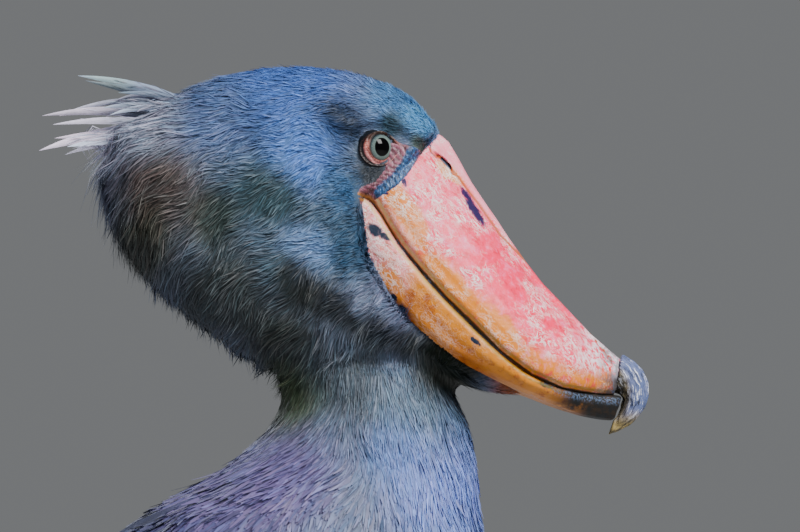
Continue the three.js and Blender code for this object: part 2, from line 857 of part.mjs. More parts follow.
const neck = trunk.intersect(levels(TORSO_CUT, NECK_CUT - GAP));
const torso = trunk.intersect(levels(-FAR, TORSO_CUT - GAP));
add("neck", neck, "neck_feathers");
add("torso", torso, "body_feathers");

const headGrown = cranium(GAP).add(ruff(GAP)).subtract(faceSpace(GAP));
const lowerGrown = billForm(
  LOWER_BILL.map(([tx, tz, mx, mz]) => [tx, tz, mx - 0.2, mz - 0.3]),
  LOWER_SECTION.map(([across, up]) => [across + 0.008, up]),
  22,
);
const throat = alongX(THROAT, { around: 16, along: 12 })
  .subtract(headGrown)
  .subtract(lowerGrown)
  .subtract(neckForm(GAP));
add("throat", throat, "throat_skin");

for (const [name, side] of Object.entries(SIDES)) {
  const solid = wasm.Manifold.union([wingCore(side), ...wingFeathers(side)]);
  const clear = solid.subtract(torsoForm(GAP)).subtract(neckForm(GAP)).subtract(ownSide(-side));
  add(`wing_${name}`, clear, "wing_feathers");
}
add("tail", tail(), "tail_feathers");

for (const [name, side] of Object.entries(SIDES)) {
  const { tarsus, shank } = legParts[name];
  const thigh = (grow) =>
    limb(staggered(FEATHERED_SHANK, side), side, { around: 16, along: 12, grow });
  add(`thigh_${name}`, thigh(0).subtract(torsoForm(GAP)), "leg_feathers");
  const shankOnly = shank.subtract(thigh(GAP)).intersect(levels(HEEL_CUT + FLOOR, FAR));
  add(`shank_${name}`, shankOnly, "leg_skin");
  const ankle = shank.add(tarsus).intersect(levels(FLOOR, HEEL_CUT + FLOOR - GAP));
  add(`tarsus_${name}`, ankle, "leg_skin");
  const grown = staggered(TARSUS, side);
  const clear = limb(grown, side, { around: 10, along: 10, grow: GAP });
  const laid = [];
  for (const [toeName, shape] of Object.entries(TOES)) {
    let solid = toe(side, shape).subtract(clear);
    for (const other of laid) solid = solid.subtract(other);
    laid.push(toe(side, shape, GAP));
    add(`${toeName}_${name}`, solid, "leg_skin");
    add(`${toeName}_claw_${name}`, claw(side, shape), "claw_horn");
  }
}

// Stand the bird on the floor with its box centred.
const box = new THREE.Box3().setFromObject(root);
const middle = box.getCenter(V(0, 0, 0));
root.position.set(-middle.x, -middle.y, EYE_HEIGHT);

export default root;
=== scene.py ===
# %% [markdown]
# # A shoebill, life size
# This script dresses a standing shoebill. The plain solids come in first and fix every size and
# place. Then each visible part is made finer over them: one skin, the coat feather by feather, the
# great bill, the eyes, and the legs.

# %% Load the solids that everything sits on
import bpy
import bmesh
import math
import numpy as np
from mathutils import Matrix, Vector
from mathutils.bvhtree import BVHTree
from mathutils.kdtree import KDTree


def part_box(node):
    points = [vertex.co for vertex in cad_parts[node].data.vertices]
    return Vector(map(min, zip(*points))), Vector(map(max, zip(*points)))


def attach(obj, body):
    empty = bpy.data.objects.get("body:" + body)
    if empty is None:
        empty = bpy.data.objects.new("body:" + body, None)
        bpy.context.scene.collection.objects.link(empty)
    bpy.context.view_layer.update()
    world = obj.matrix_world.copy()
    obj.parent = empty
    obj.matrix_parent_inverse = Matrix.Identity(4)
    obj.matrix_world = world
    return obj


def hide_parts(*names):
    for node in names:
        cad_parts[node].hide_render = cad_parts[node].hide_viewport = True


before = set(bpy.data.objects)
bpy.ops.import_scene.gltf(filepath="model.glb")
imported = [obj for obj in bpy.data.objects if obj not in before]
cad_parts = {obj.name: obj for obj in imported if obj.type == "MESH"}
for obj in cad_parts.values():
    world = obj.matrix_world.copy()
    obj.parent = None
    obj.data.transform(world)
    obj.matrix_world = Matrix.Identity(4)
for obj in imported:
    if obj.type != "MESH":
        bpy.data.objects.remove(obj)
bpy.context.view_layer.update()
draw = np.random.default_rng(7)
print("solids", len(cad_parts))

# %% [markdown]
# Places on the bird are easiest to give from its eyes: so many millimetres ahead, to its left and
# up. The solids say where the eyes are.

# %% Measure from the eyes
MM = 0.001
eye_low, eye_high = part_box("eye_right")
EYE_MIDDLE = (eye_low + eye_high) / 2
ORIGIN = np.array([EYE_MIDDLE.x, 0.0, EYE_MIDDLE.z])


def place(x, y, z):
    """A point so many millimetres ahead of the eyes, to the left and up."""
    return Vector(ORIGIN + MM * np.array([x, y, z]))


def from_eyes(points):
    """Points in metres as millimetres from the eyes."""
    return (np.asarray(points) - ORIGIN) / MM


print("eyes at", np.round(ORIGIN, 4))

# %% [markdown]
# ## Camera and light
# A long lens from about four metres keeps the head's proportions true, as in the photograph of a
# shy bird. It looks up by a few degrees, so the far edge of the jaw shows under the near one.

# %% Set up the camera
FRAME_WIDTH = 0.506
CAMERA_AWAY = 4.0
LOOK_UP = math.radians(3)
SENSOR = 36.0
look_at = place(12.6, 0, -75.2)
bpy.ops.object.camera_add()
camera = bpy.context.object
camera.data.sensor_width = SENSOR
camera.data.lens = SENSOR * CAMERA_AWAY / FRAME_WIDTH
camera.location = look_at - CAMERA_AWAY * Vector((0, math.cos(LOOK_UP), math.sin(LOOK_UP)))
camera.rotation_euler = (math.pi / 2 + LOOK_UP, 0, 0)
bpy.context.scene.camera = camera
print("lens", round(camera.data.lens, 1))


# %% [markdown]
# Three broad area lights stand for the soft boxes of a studio: one high in front, one to fill the
# shade and one from behind that picks out the edge of the coat.

# %% Set up floor and lights
def soft_box(name, spot, size, power, colour=(1, 1, 1)):
    """A square area light at a spot, aimed at the bird's breast."""
    bpy.ops.object.light_add(type="AREA", location=spot)
    lamp = bpy.context.object
    lamp.name = name
    lamp.data.size = size
    lamp.data.energy = power
    lamp.data.color = colour
    aim = place(-100, 0, -200) - Vector(spot)
    lamp.rotation_euler = aim.to_track_quat("-Z", "Y").to_euler()


soft_box("light_high", (1.7, -1.9, 2.9), 1.3, 186, (1, 0.985, 0.96))
soft_box("light_fill", (-2.8, -2.6, 1.4), 2.6, 7, (0.86, 0.93, 1))
soft_box("light_behind", (-1.6, 2.2, 2.8), 1.6, 60, (0.9, 0.95, 1))
bpy.ops.mesh.primitive_plane_add(size=14, location=(0, 0, 0))
floor = bpy.context.object
floor.name = "floor"
world = bpy.data.worlds.new("studio")
world.use_nodes = True
world.node_tree.nodes["Background"].inputs["Color"].default_value = (0.62, 0.64, 0.66, 1)
world.node_tree.nodes["Background"].inputs["Strength"].default_value = 0.28
bpy.context.scene.world = world
print("lights set")

# %% [markdown]
# ## A small language for finishes
# Shader nodes do sums one at a time. The class below wraps a socket, so that a finish can be
# written as a formula. One method makes any other node.


# %% Write shader sums as formulas
class Value:
    """A number that varies over a surface."""

    def __init__(self, finish, socket):
        self.finish = finish
        self.socket = socket

    def sum(self, operation, *others):
        node = self.finish.make("ShaderNodeMath", {"operation": operation})
        for slot, item in enumerate((self,) + others):
            self.finish.feed(node.inputs[slot], item)
        return Value(self.finish, node.outputs[0])

    def __add__(self, other):
        return self.sum("ADD", other)

    __radd__ = __add__

    def __sub__(self, other):
        return self.sum("SUBTRACT", other)

    def __rsub__(self, other):
        return (self * -1) + other

    def __mul__(self, other):
        return self.sum("MULTIPLY", other)

    __rmul__ = __mul__

    def __truediv__(self, other):
        return self.sum("DIVIDE", other)

    def __pow__(self, other):
        return self.sum("POWER", other)

    def __abs__(self):
        return self.sum("ABSOLUTE")

    def step(self, low, high):
        """0 below low and 1 above high, with a soft turn between them."""
        settings = {"interpolation_type": "SMOOTHSTEP"}
        inputs = {"Value": self, "From Min": low, "From Max": high}
        return Value(self.finish, self.finish.make("ShaderNodeMapRange", settings, inputs).outputs[0])

    def near(self, middle, reach):
        """1 at the middle, falling softly to 0 at its reach on either side."""
        return 1 - abs(self - middle).step(0, reach)


print("sums ready")


# %% Hold a material and the means to paint it
class Finish:
    """A material with one main shader, and the means to paint it."""

    def __init__(self, name, **constants):
        self.material = bpy.data.materials.new(name)
        self.material.use_nodes = True
        self.tree = self.material.node_tree
        self.shader = self.tree.nodes["Principled BSDF"]
        for socket, number in constants.items():
            self.shader.inputs[socket.replace("_", " ")].default_value = number

    def make(self, kind, settings=None, inputs=None):
        node = self.tree.nodes.new(kind)
        for key, setting in (settings or {}).items():
            setattr(node, key, setting)
        for key, item in (inputs or {}).items():
            self.feed(node.inputs[key], item)
        return node

    def feed(self, socket, item):
        if isinstance(item, Value):
            item = item.socket
        if isinstance(item, bpy.types.NodeSocket):
            self.tree.links.new(item, socket)
        else:
            socket.default_value = item

    def split(self, vector):
        node = self.make("ShaderNodeSeparateXYZ", None, {0: vector})
        return [Value(self, output) for output in node.outputs]

    def attribute(self, name):
        node = self.make("ShaderNodeAttribute", {"attribute_name": name})
        return node.outputs["Vector"]

    def spot(self, scale=(1, 1, 1), turn=(0, 0, 0)):
        """Place on the bird in millimetres from the eyes, stretched and turned where asked."""
        home = self.make("ShaderNodeTexCoord").outputs["Object"]
        middle = tuple(-ORIGIN / MM)
        inputs = {"Vector": home, "Location": middle, "Scale": (1 / MM,) * 3}
        level = self.make("ShaderNodeMapping", None, inputs).outputs[0]
        if scale == (1, 1, 1) and turn == (0, 0, 0):
            return level
        inputs = {"Vector": level, "Rotation": turn, "Scale": scale}
        return self.make("ShaderNodeMapping", None, inputs).outputs[0]

    def noise(self, vector, scale, detail=3.0, roughness=0.5, bend=0.0):
        inputs = {"Vector": vector, "Scale": scale, "Detail": detail}
        inputs.update({"Roughness": roughness, "Distortion": bend})
        return Value(self, self.make("ShaderNodeTexNoise", None, inputs).outputs[0])

    def gather(self, *parts):
        """Three numbers as one vector."""
        return self.make("ShaderNodeCombineXYZ", None, dict(enumerate(parts))).outputs[0]

    def mix(self, factor, below, above):
        """One colour over another, by a factor."""
        node = self.make("ShaderNodeMix", {"data_type": "RGBA"})
        for slot, item in ((0, factor), (6, below), (7, above)):
            self.feed(node.inputs[slot], item)
        return node.outputs[2]

    def scaled(self, colour, factor):
        """A colour made lighter or darker all through."""
        node = self.make("ShaderNodeVectorMath", {"operation": "SCALE"}, {0: colour})
        self.feed(node.inputs["Scale"], factor)
        return node.outputs[0]

    def paint(self, colour, roughness=None, height=None, strength=0.4, depth=0.001):
        self.feed(self.shader.inputs["Base Color"], colour)
        if roughness is not None:
            self.feed(self.shader.inputs["Roughness"], roughness)
        if height is not None:
            inputs = {"Height": height, "Strength": strength, "Distance": depth}
            self.feed(self.shader.inputs["Normal"], self.make("ShaderNodeBump", None, inputs).outputs[0])
        return self.material


def srgb(red, green, blue):
    """A colour as read off a screen, from 0 to 255, as the renderer counts light."""
    parts = []
    for part in (red, green, blue):
        share = part / 255
        parts.append(share / 12.92 if share <= 0.04045 else ((share + 0.055) / 1.055) ** 2.4)
    return (*parts, 1.0)


print("finishes ready")

# %% [markdown]
# The studio floor is plain and pale, with only a faint unevenness, so that nothing draws the eye
# from the bird.

# %% Finish the floor
plain = Finish("studio_floor", Roughness=0.8)
drift = plain.noise(plain.spot(), 0.004)
floor.data.materials.append(plain.paint(plain.mix(drift, srgb(196, 197, 198), srgb(206, 207, 208))))
print("floor", len(floor.data.materials))


# %% [markdown]
# ## The skin
# Under its feathers a bird is one smooth form. Copies of the solids of head, neck, body, throat,
# thighs, eyes and bill are joined with lofted cores for the wings and the tail's root and a hidden
# ball under the jaw, and cast again as one surface with a voxel remesh, which closes the fine gaps
# between them. Smoothing takes the facets away, and the surface is then drawn in by the depth of the
# coat.

# %% Gather solids into one form
def select_only(piece):
    bpy.ops.object.select_all(action="DESELECT")
    piece.select_set(True)
    bpy.context.view_layer.objects.active = piece


def shown(name, mesh):
    """A new object in the scene that has this mesh."""
    piece = bpy.data.objects.new(name, mesh)
    bpy.context.collection.objects.link(piece)
    return piece


def joined(pieces):
    """Several objects made one, which is the first of them."""
    select_only(pieces[0])
    for piece in pieces:
        piece.select_set(True)
    bpy.ops.object.join()
    return pieces[0]


def edit_all(piece, act, **settings):
    """Runs one edit command on the whole of a piece's mesh."""
    select_only(piece)
    bpy.ops.object.mode_set(mode="EDIT")
    bpy.ops.mesh.select_all(action="SELECT")
    act(**settings)
    bpy.ops.object.mode_set(mode="OBJECT")


def smooth_faces(piece):
    select_only(piece)
    bpy.ops.object.shade_smooth()


def joined_copy(name, *nodes):
    """Copies of solids as one object, their loose triangles merged."""
    piece = joined([shown(name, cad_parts[node].data.copy()) for node in nodes])
    edit_all(piece, bpy.ops.mesh.remove_doubles, threshold=0.00001)
    piece.name = name
    piece.data.name = name
    piece.data.materials.clear()
    return piece


def apply_modifier(piece, kind, **settings):
    select_only(piece)
    modifier = piece.modifiers.new(kind.lower(), kind)
    for key, setting in settings.items():
        setattr(modifier, key, setting)
    bpy.ops.object.modifier_apply(modifier=modifier.name)


def coordinates(mesh):
    points = np.empty(len(mesh.vertices) * 3)
    mesh.vertices.foreach_get("co", points)
    return points.reshape(-1, 3)


def normals_of(mesh):
    points = np.empty(len(mesh.vertices) * 3)
    mesh.vertices.foreach_get("normal", points)
    return points.reshape(-1, 3)


def move_points(mesh, points):
    mesh.vertices.foreach_set("co", points.ravel())
    mesh.update()


def keep_largest(piece):
    """Drops every scrap that isn't joined to the main surface."""
    mesh = piece.data
    ends = np.empty(len(mesh.edges) * 2, dtype=int)
    mesh.edges.foreach_get("vertices", ends)
    a, b = ends.reshape(-1, 2).T
    label = np.arange(len(mesh.vertices))
    while True:
        low = np.minimum(label[a], label[b])
        fresh = label.copy()
        np.minimum.at(fresh, a, low)
        np.minimum.at(fresh, b, low)
        fresh = fresh[fresh]
        if np.array_equal(fresh, label):
            break
        label = fresh
    main = np.bincount(label).argmax()
    work = bmesh.new()
    work.from_mesh(mesh)
    work.verts.ensure_lookup_table()
    scraps = [work.verts[i] for i in np.flatnonzero(label != main)]
    bmesh.ops.delete(work, geom=scraps, context="VERTS")
    work.to_mesh(mesh)
    work.free()


print("solids can be joined")


# %% Loft forms through rings of points
def grid_faces(rows, columns, closed):
    """Four-sided faces of a grid of points, wound round on itself where closed."""
    cell = np.arange(rows * columns).reshape(rows, columns)
    if closed:
        cell = np.concatenate((cell, cell[:, :1]), axis=1)
    return np.stack([cell[:-1, :-1], cell[:-1, 1:], cell[1:, 1:], cell[1:, :-1]], -1).reshape(-1, 4)


def loft(name, rings):
    """A closed form through rings of points in millimetres, each end drawn to its own middle."""
    rows, columns = rings.shape[:2]
    points = [rings.reshape(-1, 3), rings[0].mean(axis=0)[None], rings[-1].mean(axis=0)[None]]
    faces = grid_faces(rows, columns, True).tolist()
    first, last = rows * columns, rows * columns + 1
    for i in range(columns):
        j = (i + 1) % columns
        faces.append((first, j, i))
        faces.append((last, first - columns + i, first - columns + j))
    mesh = bpy.data.meshes.new(name)
    mesh.from_pydata((np.concatenate(points) * MM + ORIGIN).tolist(), [], faces)
    piece = shown(name, mesh)
    edit_all(piece, bpy.ops.mesh.normals_make_consistent, inside=False)
    return piece


def between(rows, t):
    """Rows of stations read at shares t along them, eased through each row."""
    rows = np.asarray(rows, dtype=float)
    t = np.clip(np.asarray(t, dtype=float), 0, 1) * (len(rows) - 1)
    i = np.minimum(t.astype(int), len(rows) - 2)
    f = (t - i)[..., None]
    last = len(rows) - 1
    p0, p1 = rows[np.maximum(i - 1, 0)], rows[i]
    p2, p3 = rows[i + 1], rows[np.minimum(i + 2, last)]
    bend = (2 * p0 - 5 * p1 + 4 * p2 - p3) * f**2 + (3 * p1 - p0 - 3 * p2 + p3) * f**3
    return p1 + 0.5 * ((p2 - p0) * f + bend)


print("helpers ready")

# %% [markdown]
# A folded wing is a long shallow shell against the body. Its outer face is given by stations from
# the bend to the tip: the lower edge, the swell between, and the upper edge. The flesh under it ends
# well before the tips, where only feathers are left. The root of the tail is a flattened cone.

# %% Form wings and tail root
WING = [
    # x, lower edge y and z, swell y, upper edge y and z
    (20, 72, -330, 80, 64, -292),
    (4, 88, -366, 104, 66, -244),
    (-26, 104, -408, 127, 58, -199),
    (-72, 114, -446, 140, 46, -195),
    (-132, 117, -474, 145, 34, -212),
    (-210, 112, -494, 144, 22, -256),
    (-300, 97, -502, 131, 12, -312),
    (-400, 73, -496, 103, 7, -374),
    (-500, 49, -490, 70, 6, -428),
    (-590, 30, -498, 42, 6, -464),
]
WING_FLESH = 0.72
WING_DEPTH = 16.0
SIDES = (("right", -1), ("left", 1))
TAIL = {"x": -496, "z": -466, "slope": math.radians(32), "spread": math.radians(10.5)}


def wing_place(s, v, side, lift=0.0):
    """Points of a folded wing's outer face: s from bend to tip, v from lower edge to upper."""
    row = between(WING, s)
    x, low_y, low_z, swell, high_y, high_z = np.moveaxis(row, -1, 0)
    y = low_y + (high_y - low_y) * v + (swell - (low_y + high_y) / 2) * 4 * v * (1 - v)
    z = low_z + (high_z - low_z) * v
    return np.stack([x + 0 * y, side * (y + lift), z + 0 * y], -1)


def tail_place(back, across, up):
    """Points in the tail's own slope: so far back, to the left and over its face."""
    slope = TAIL["slope"]
    x = TAIL["x"] - back * math.cos(slope) + up * math.sin(slope)
    z = TAIL["z"] - back * math.sin(slope) + up * math.cos(slope)
    return np.stack([x, across + 0 * x, z], -1)


print("wing stations", len(WING))

# %% Loft the wings' flesh and the tail's root
turns = np.linspace(0, 2 * math.pi, 28, endpoint=False)[None, :]
steps = np.linspace(0.015, 1, 40)[:, None]
cores = []
for side, sign in SIDES:
    v = 0.5 - 0.44 * np.cos(turns) * np.minimum(1, (steps * 14) ** 0.5)
    depth = np.where(np.sin(turns) < 0, WING_DEPTH * np.sin(turns), 0) - 3
    s = WING_FLESH * steps + 0 * turns
    taper = np.clip((1 - steps) * 8, 0.12, 1)
    v = 0.5 + (v - 0.5) * taper
    cores.append(loft(f"wing_core_{side}", wing_place(s, v, sign, depth)))
shares = np.linspace(0.02, 0.98, 16)[:, None]
swell = np.sin(math.pi * shares) ** 0.6
across, up = 30 * np.cos(turns) * swell, 14 * np.sin(turns) * swell - 9
cores.append(loft("tail_core", tail_place(-60 + 100 * shares + 0 * turns, across, up)))

# A hidden ball fills the fold where jaw, throat and neck meet.
fold = place(20, 0, -134)
bpy.ops.mesh.primitive_uv_sphere_add(segments=24, ring_count=16, location=fold)
cores.append(bpy.context.object)
bpy.ops.transform.resize(value=(0.017, 0.036, 0.014), center_override=fold)
bpy.ops.object.transform_apply(location=True, rotation=True, scale=True)
print("hidden cores", len(cores))

# %% Cast the skin
SKIN_VOXEL = 0.0026
COAT_TOP = -225
FLESH = ["head", "neck", "torso", "throat", "thigh_right", "thigh_left"]
skin = joined_copy("skin", *FLESH, "eye_right", "eye_left", "upper_bill", "lower_bill")
joined([skin] + cores)
apply_modifier(skin, "REMESH", mode="VOXEL", voxel_size=SKIN_VOXEL)
keep_largest(skin)
apply_modifier(skin, "SMOOTH", factor=0.5, iterations=7)
# Below the neck broad feathers hide the skin, so it needs fewer points there.
low_down = np.flatnonzero(from_eyes(coordinates(skin.data))[:, 2] < COAT_TOP)
skin.vertex_groups.new(name="under_the_coat").add(low_down.tolist(), 1.0, "REPLACE")
apply_modifier(skin, "DECIMATE", ratio=0.42, vertex_group="under_the_coat")
skin.data.calc_loop_triangles()
print("skin", len(skin.data.vertices), "points", len(skin.data.loop_triangles), "triangles")

# %% [markdown]
# The voxel surface already has the bird's outline. Its points are now moved a little, as a modeller
# would with a soft grab brush: the brow is raised over the eye, the skin under the bill sinks beneath
# the horn, and everything else is drawn in by the depth of the coat.

# %% Write helpers for lines seen from the side
def line_distance(points, line):
    """Distance of points (x, z) from a bent line, and how far along it they are."""
    line = np.asarray(line, dtype=float)
    best = np.full(len(points), 1e9)
    along = np.zeros(len(points))
    lengths = np.linalg.norm(np.diff(line, axis=0), axis=1)
    starts = np.concatenate(([0], np.cumsum(lengths)))
    for a, b, start, length in zip(line[:-1], line[1:], starts, lengths):
        share = np.clip(((points - a) @ (b - a)) / length**2, 0, 1)
        gap = np.linalg.norm(points - a - share[:, None] * (b - a), axis=1)
        nearer = gap < best
        best[nearer] = gap[nearer]
        along[nearer] = (start + share * length)[nearer] / starts[-1]
    return best, along


def inside(points, outline):
    """Whether points (x, z) lie inside a closed outline."""
    outline = np.asarray(outline, dtype=float)
    within = np.zeros(len(points), dtype=bool)
    for a, b in zip(outline, np.roll(outline, -1, axis=0)):
        spans = (a[1] > points[:, 1]) != (b[1] > points[:, 1])
        rise = b[1] - a[1] if b[1] != a[1] else 1e-9
        meets = a[0] + (points[:, 1] - a[1]) / rise * (b[0] - a[0])
        within ^= spans & (points[:, 0] < meets)
    return within


def smooth_step(value, low, high):
    share = np.clip((value - low) / (high - low), 0, 1)
    return share * share * (3 - 2 * share)


print("a step halfway:", smooth_step(np.array([0.5]), 0, 1)[0])

# %% [markdown]
# The edge of the feathers round the bill, the brow and the bare skin round the eye are lines in the
# side view, given from the eyes in millimetres.

# %% Draw the lines of the face
FACE_EDGE = [(70, 60), (40, 20), (36, 9), (25, -4), (-1, -28), (-12.5, -32), (-11.5, -52)]
FACE_EDGE += [(-9.5, -71), (-1, -87), (9.5, -106), (22, -120), (33, -129), (60, -150), (190, -200)]
BILL_SPACE = FACE_EDGE + [(190, 60)]
LORES = [(9, 3.2), (15, 0.2), (24, -2), (28, -4.8), (23.5, -12.3), (18, -20.8), (11.5, -27.8)]
LORES += [(3, -33.3), (-4, -37.5), (-12, -40), (-15.5, -33.5), (-13, -27.3), (-3, -23.3)]
LORES += [(2, -16.8), (4, -11.3), (4, -2)]
BROW = [(38, 12), (30, 3), (23, 2), (15, 7), (5, 12), (-7, 12.5), (-17, 7), (-26, 10), (-40, 19)]


def bare_skin(side_view):
    """Where the face has no feathers: the lids' oval and the skin between eye and bill."""
    x, z = side_view.T
    oval = ((x + 1.4) / 11.6) ** 2 + ((z + 4.1) / 10.6) ** 2 < 1
    return oval | inside(side_view, LORES)


SCULPT = [
    # middle x and z, reach, height of a soft rise or hollow on the cheeks and crown
    (18, 22, 17, 2.4),
    (-60, 0, 24, 5.0),
    (-28, -24, 16, 2.6),
    (-104, -52, 22, -6.0),
    (-68, -50, 14, -3.6),
    (-52, -84, 22, 4.4),
    (-22, -74, 14, -2.6),
    (-92, 14, 14, -3.0),
    (-130, -20, 20, 3.0),
    (-100, -86, 22, 2.6),
    (8, -112, 12, 2.6),
]
print("rises and hollows", len(SCULPT))

# %% Move the skin's points
# The crest's solid feathers and the fold under the jaw melt away before anything else is moved.
points = from_eyes(coordinates(skin.data))
stubs = (points[:, 0] < -118) & (points[:, 2] > -22) & (abs(points[:, 1]) < 34)
seam = np.hypot(points[:, 0] - 27, points[:, 2] + 136) < 9
stubs = np.flatnonzero(stubs | (seam & (points[:, 2] > -152)))
group = skin.vertex_groups.new(name="crest_root")
group.add(stubs.tolist(), 1.0, "REPLACE")
apply_modifier(skin, "SMOOTH", factor=1.0, iterations=60, vertex_group="crest_root")

points = from_eyes(coordinates(skin.data))
outward = normals_of(skin.data)
side_view = points[:, [0, 2]]
under_horn = inside(side_view, BILL_SPACE)
edge_gap, _ = line_distance(side_view, FACE_EDGE)
eye_gap = np.hypot(points[:, 0], points[:, 2] + 2.3)
coat_depth = 1.6 + 2.4 * smooth_step(-points[:, 0], -10, 60)
coat_depth += 3.0 * smooth_step(-points[:, 2], 100, 260)
folded = (points[:, 0] < -150) & (abs(points[:, 1]) > 40) & (points[:, 2] > -500)
coat_depth[folded] = 3.0
bare = bare_skin(side_view)
coat_depth[bare] = 0.3
head_only = points[:, 2] > -150
horn_depth = 0.4 + 2.2 * smooth_step(edge_gap, 0, 4)
coat_depth = np.where(under_horn & head_only, horn_depth, coat_depth)
brow_line = np.array(BROW)[::-1]
over_brow = points[:, 2] - np.interp(points[:, 0], brow_line[:, 0], brow_line[:, 1])
by_face = smooth_step(points[:, 0], -44, -20) * (1 - smooth_step(points[:, 0], 34, 42)) * head_only
flank = smooth_step(abs(points[:, 1]), 14, 28)
brow_fade = np.exp(-((np.maximum(over_brow - 3, 0) / 13) ** 2))
brow = 5.2 * smooth_step(over_brow, -1.2, 2.2) * brow_fade * by_face * flank
socket = 3.0 * np.exp(-((eye_gap / 15) ** 4)) * (1 - smooth_step(over_brow, -1, 2))
shape = np.zeros(len(points))
for sx, sz, reach, height in SCULPT:
    gap = np.hypot(side_view[:, 0] - sx, side_view[:, 1] - sz)
    shape += height * np.exp(-((gap / reach) ** 2)) * flank
points += outward * (shape * ~under_horn + brow * ~under_horn - coat_depth - socket)[:, None]
move_points(skin.data, (points * MM) + ORIGIN)
apply_modifier(skin, "SMOOTH", factor=0.5, iterations=2)
smooth_faces(skin)
print("skin box", np.round(points.min(0)), np.round(points.max(0)))

# %% [markdown]
# ## One plumage, painted once
# Skin and coat carry the same markings, so one function paints both. It starts from a soft grey and
# lays on blurred patches, each given in the side view by its middle, its reach and its colour, as
# they'd be brushed on a cast: slate blue over the crown, steel blue on the cheek's front, taupe
# towards the nape, lilac over the shoulders. Some patches are painted shade: green grey in the
# cheek's hollows, and near black under the brow, under and behind the eye, in the fold under the
# cheek, under the ruff and over the olive down under the jaw.

# %% List the patches
PATCHES = [
    ((-60, -40), 95, (66, 92, 112)),
    ((-60, 44), 70, (60, 106, 182)),
    ((-110, 20), 46, (80, 104, 148)),
    ((10, 32), 34, (64, 122, 172)),
    ((28, 14), 20, (78, 148, 196)),
    # These two are the small olive feathers under the brow, darkened with the brow's painted shade.
    ((8, 10), 13, (30, 62, 70)),
    ((24, 0), 8, (70, 84, 66)),
    # Painted shade in the hollow under the eye, then the brow's painted shadow behind the eye.
    ((-6, -19), 18, (4, 10, 8)),
    ((-26, 12), 24, (20, 36, 54)),
    ((-48, -8), 34, (80, 130, 206)),
    ((-26, -30), 20, (46, 92, 132)),
    ((-24, -64), 34, (34, 76, 104)),
    ((-70, -34), 30, (40, 68, 72)),
    # Green grey painted shade in the cheek's hollow.
    ((-104, -48), 30, (46, 60, 48)),
    ((-140, -30), 46, (84, 70, 54)),
    ((-150, -66), 40, (60, 60, 40)),
    ((-100, -96), 56, (48, 54, 44)),
    ((-46, -70), 24, (104, 138, 182)),
    ((-62, -80), 18, (70, 92, 104)),
    # These three are near black painted shade in the fold under the cheek.
    ((-52, -90), 23, (4, 10, 0)),
    ((-36, -99), 22, (4, 8, 2)),
    ((-20, -110), 20, (8, 14, 8)),
    ((-8, -104), 13, (112, 126, 150)),
    # Painted shadow under the ruff's edge.
    ((-4, -122), 22, (4, 8, 4)),
    ((-60, -128), 44, (42, 46, 24)),
    # Painted shadow under the ruff's edge.
    ((16, -126), 18, (12, 18, 12)),
    ((-150, 18), 38, (160, 168, 184)),
    ((-20, -150), 44, (70, 82, 86)),
    ((22, -168), 40, (94, 118, 136)),
    ((-60, -165), 36, (70, 82, 44)),
    ((10, -196), 34, (98, 126, 176)),
    ((52, -180), 26, (60, 84, 104)),
    ((46, -225), 60, (116, 138, 206)),
    ((-60, -215), 50, (102, 90, 138)),
    ((-120, -235), 80, (98, 88, 134)),
    ((-260, -330), 160, (78, 88, 112)),
    ((40, -310), 100, (100, 118, 160)),
    ((-150, -244), 36, (52, 56, 84)),
    # Olive down under the jaw, darkened near black with painted shade; listed twice to lay it on thicker.
    ((44, -138), 36, (14, 20, 0)),
    ((44, -138), 36, (14, 20, 0)),
    ((90, -153), 26, (140, 66, 0)),
    ((90, -153), 26, (140, 66, 0)),
    ((-196, 12), 46, (226, 226, 240)),
    ((-172, 44), 20, (146, 162, 158)),
]
print("plumage patches", len(PATCHES))


# %% Paint the plumage
def plumage(finish):
    """The bird's colours over its whole coat, as a colour socket."""
    spot = finish.spot()
    x, _, z = finish.split(spot)
    wander = finish.noise(spot, 0.03, 2) * 16 - 8
    x, z = x + wander, z - wander
    colour = finish.mix(0.0, srgb(104, 116, 142), srgb(0, 0, 0))
    for (px, pz), reach, shade in PATCHES:
        gap = ((x - px) ** 2.0 + (z - pz) ** 2.0) ** 0.5
        colour = finish.mix((1 - gap.step(reach * 0.25, reach)) * 0.85, colour, srgb(*shade))
    low = (z * -1).step(300, 560)
    return finish.mix(low * 0.6, colour, srgb(132, 138, 156))


skin_finish = Finish("skin_plumage", Roughness=0.75)
down = skin_finish.noise(skin_finish.spot(), 0.5, 4, 0.7)
z = skin_finish.split(skin_finish.spot())[2]
# The skin is painted darker than the coat over it, as painted shade deep under the feathers, and darker
# still on the head.
skin_in_painted_shade = skin_finish.scaled(plumage(skin_finish), 0.75 + down * 0.25 - z.step(-230, -150) * 0.25)
skin.data.materials.append(skin_finish.paint(skin_in_painted_shade, None, down, 0.5, 0.0015))
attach(skin, "root")
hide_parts(*FLESH, "wing_right", "wing_left", "tail")
print("skin painted")

# %% [markdown]
# ## Laying a coat
# Every feather starts at a root on the skin and follows it for its own length. A short table of
# guides says how the coat lies: at each guide's place the way the feathers point, how long and wide
# they are and how far they stand off. Between guides the answers are blended, as a groomer combs a
# coat from a few strokes.

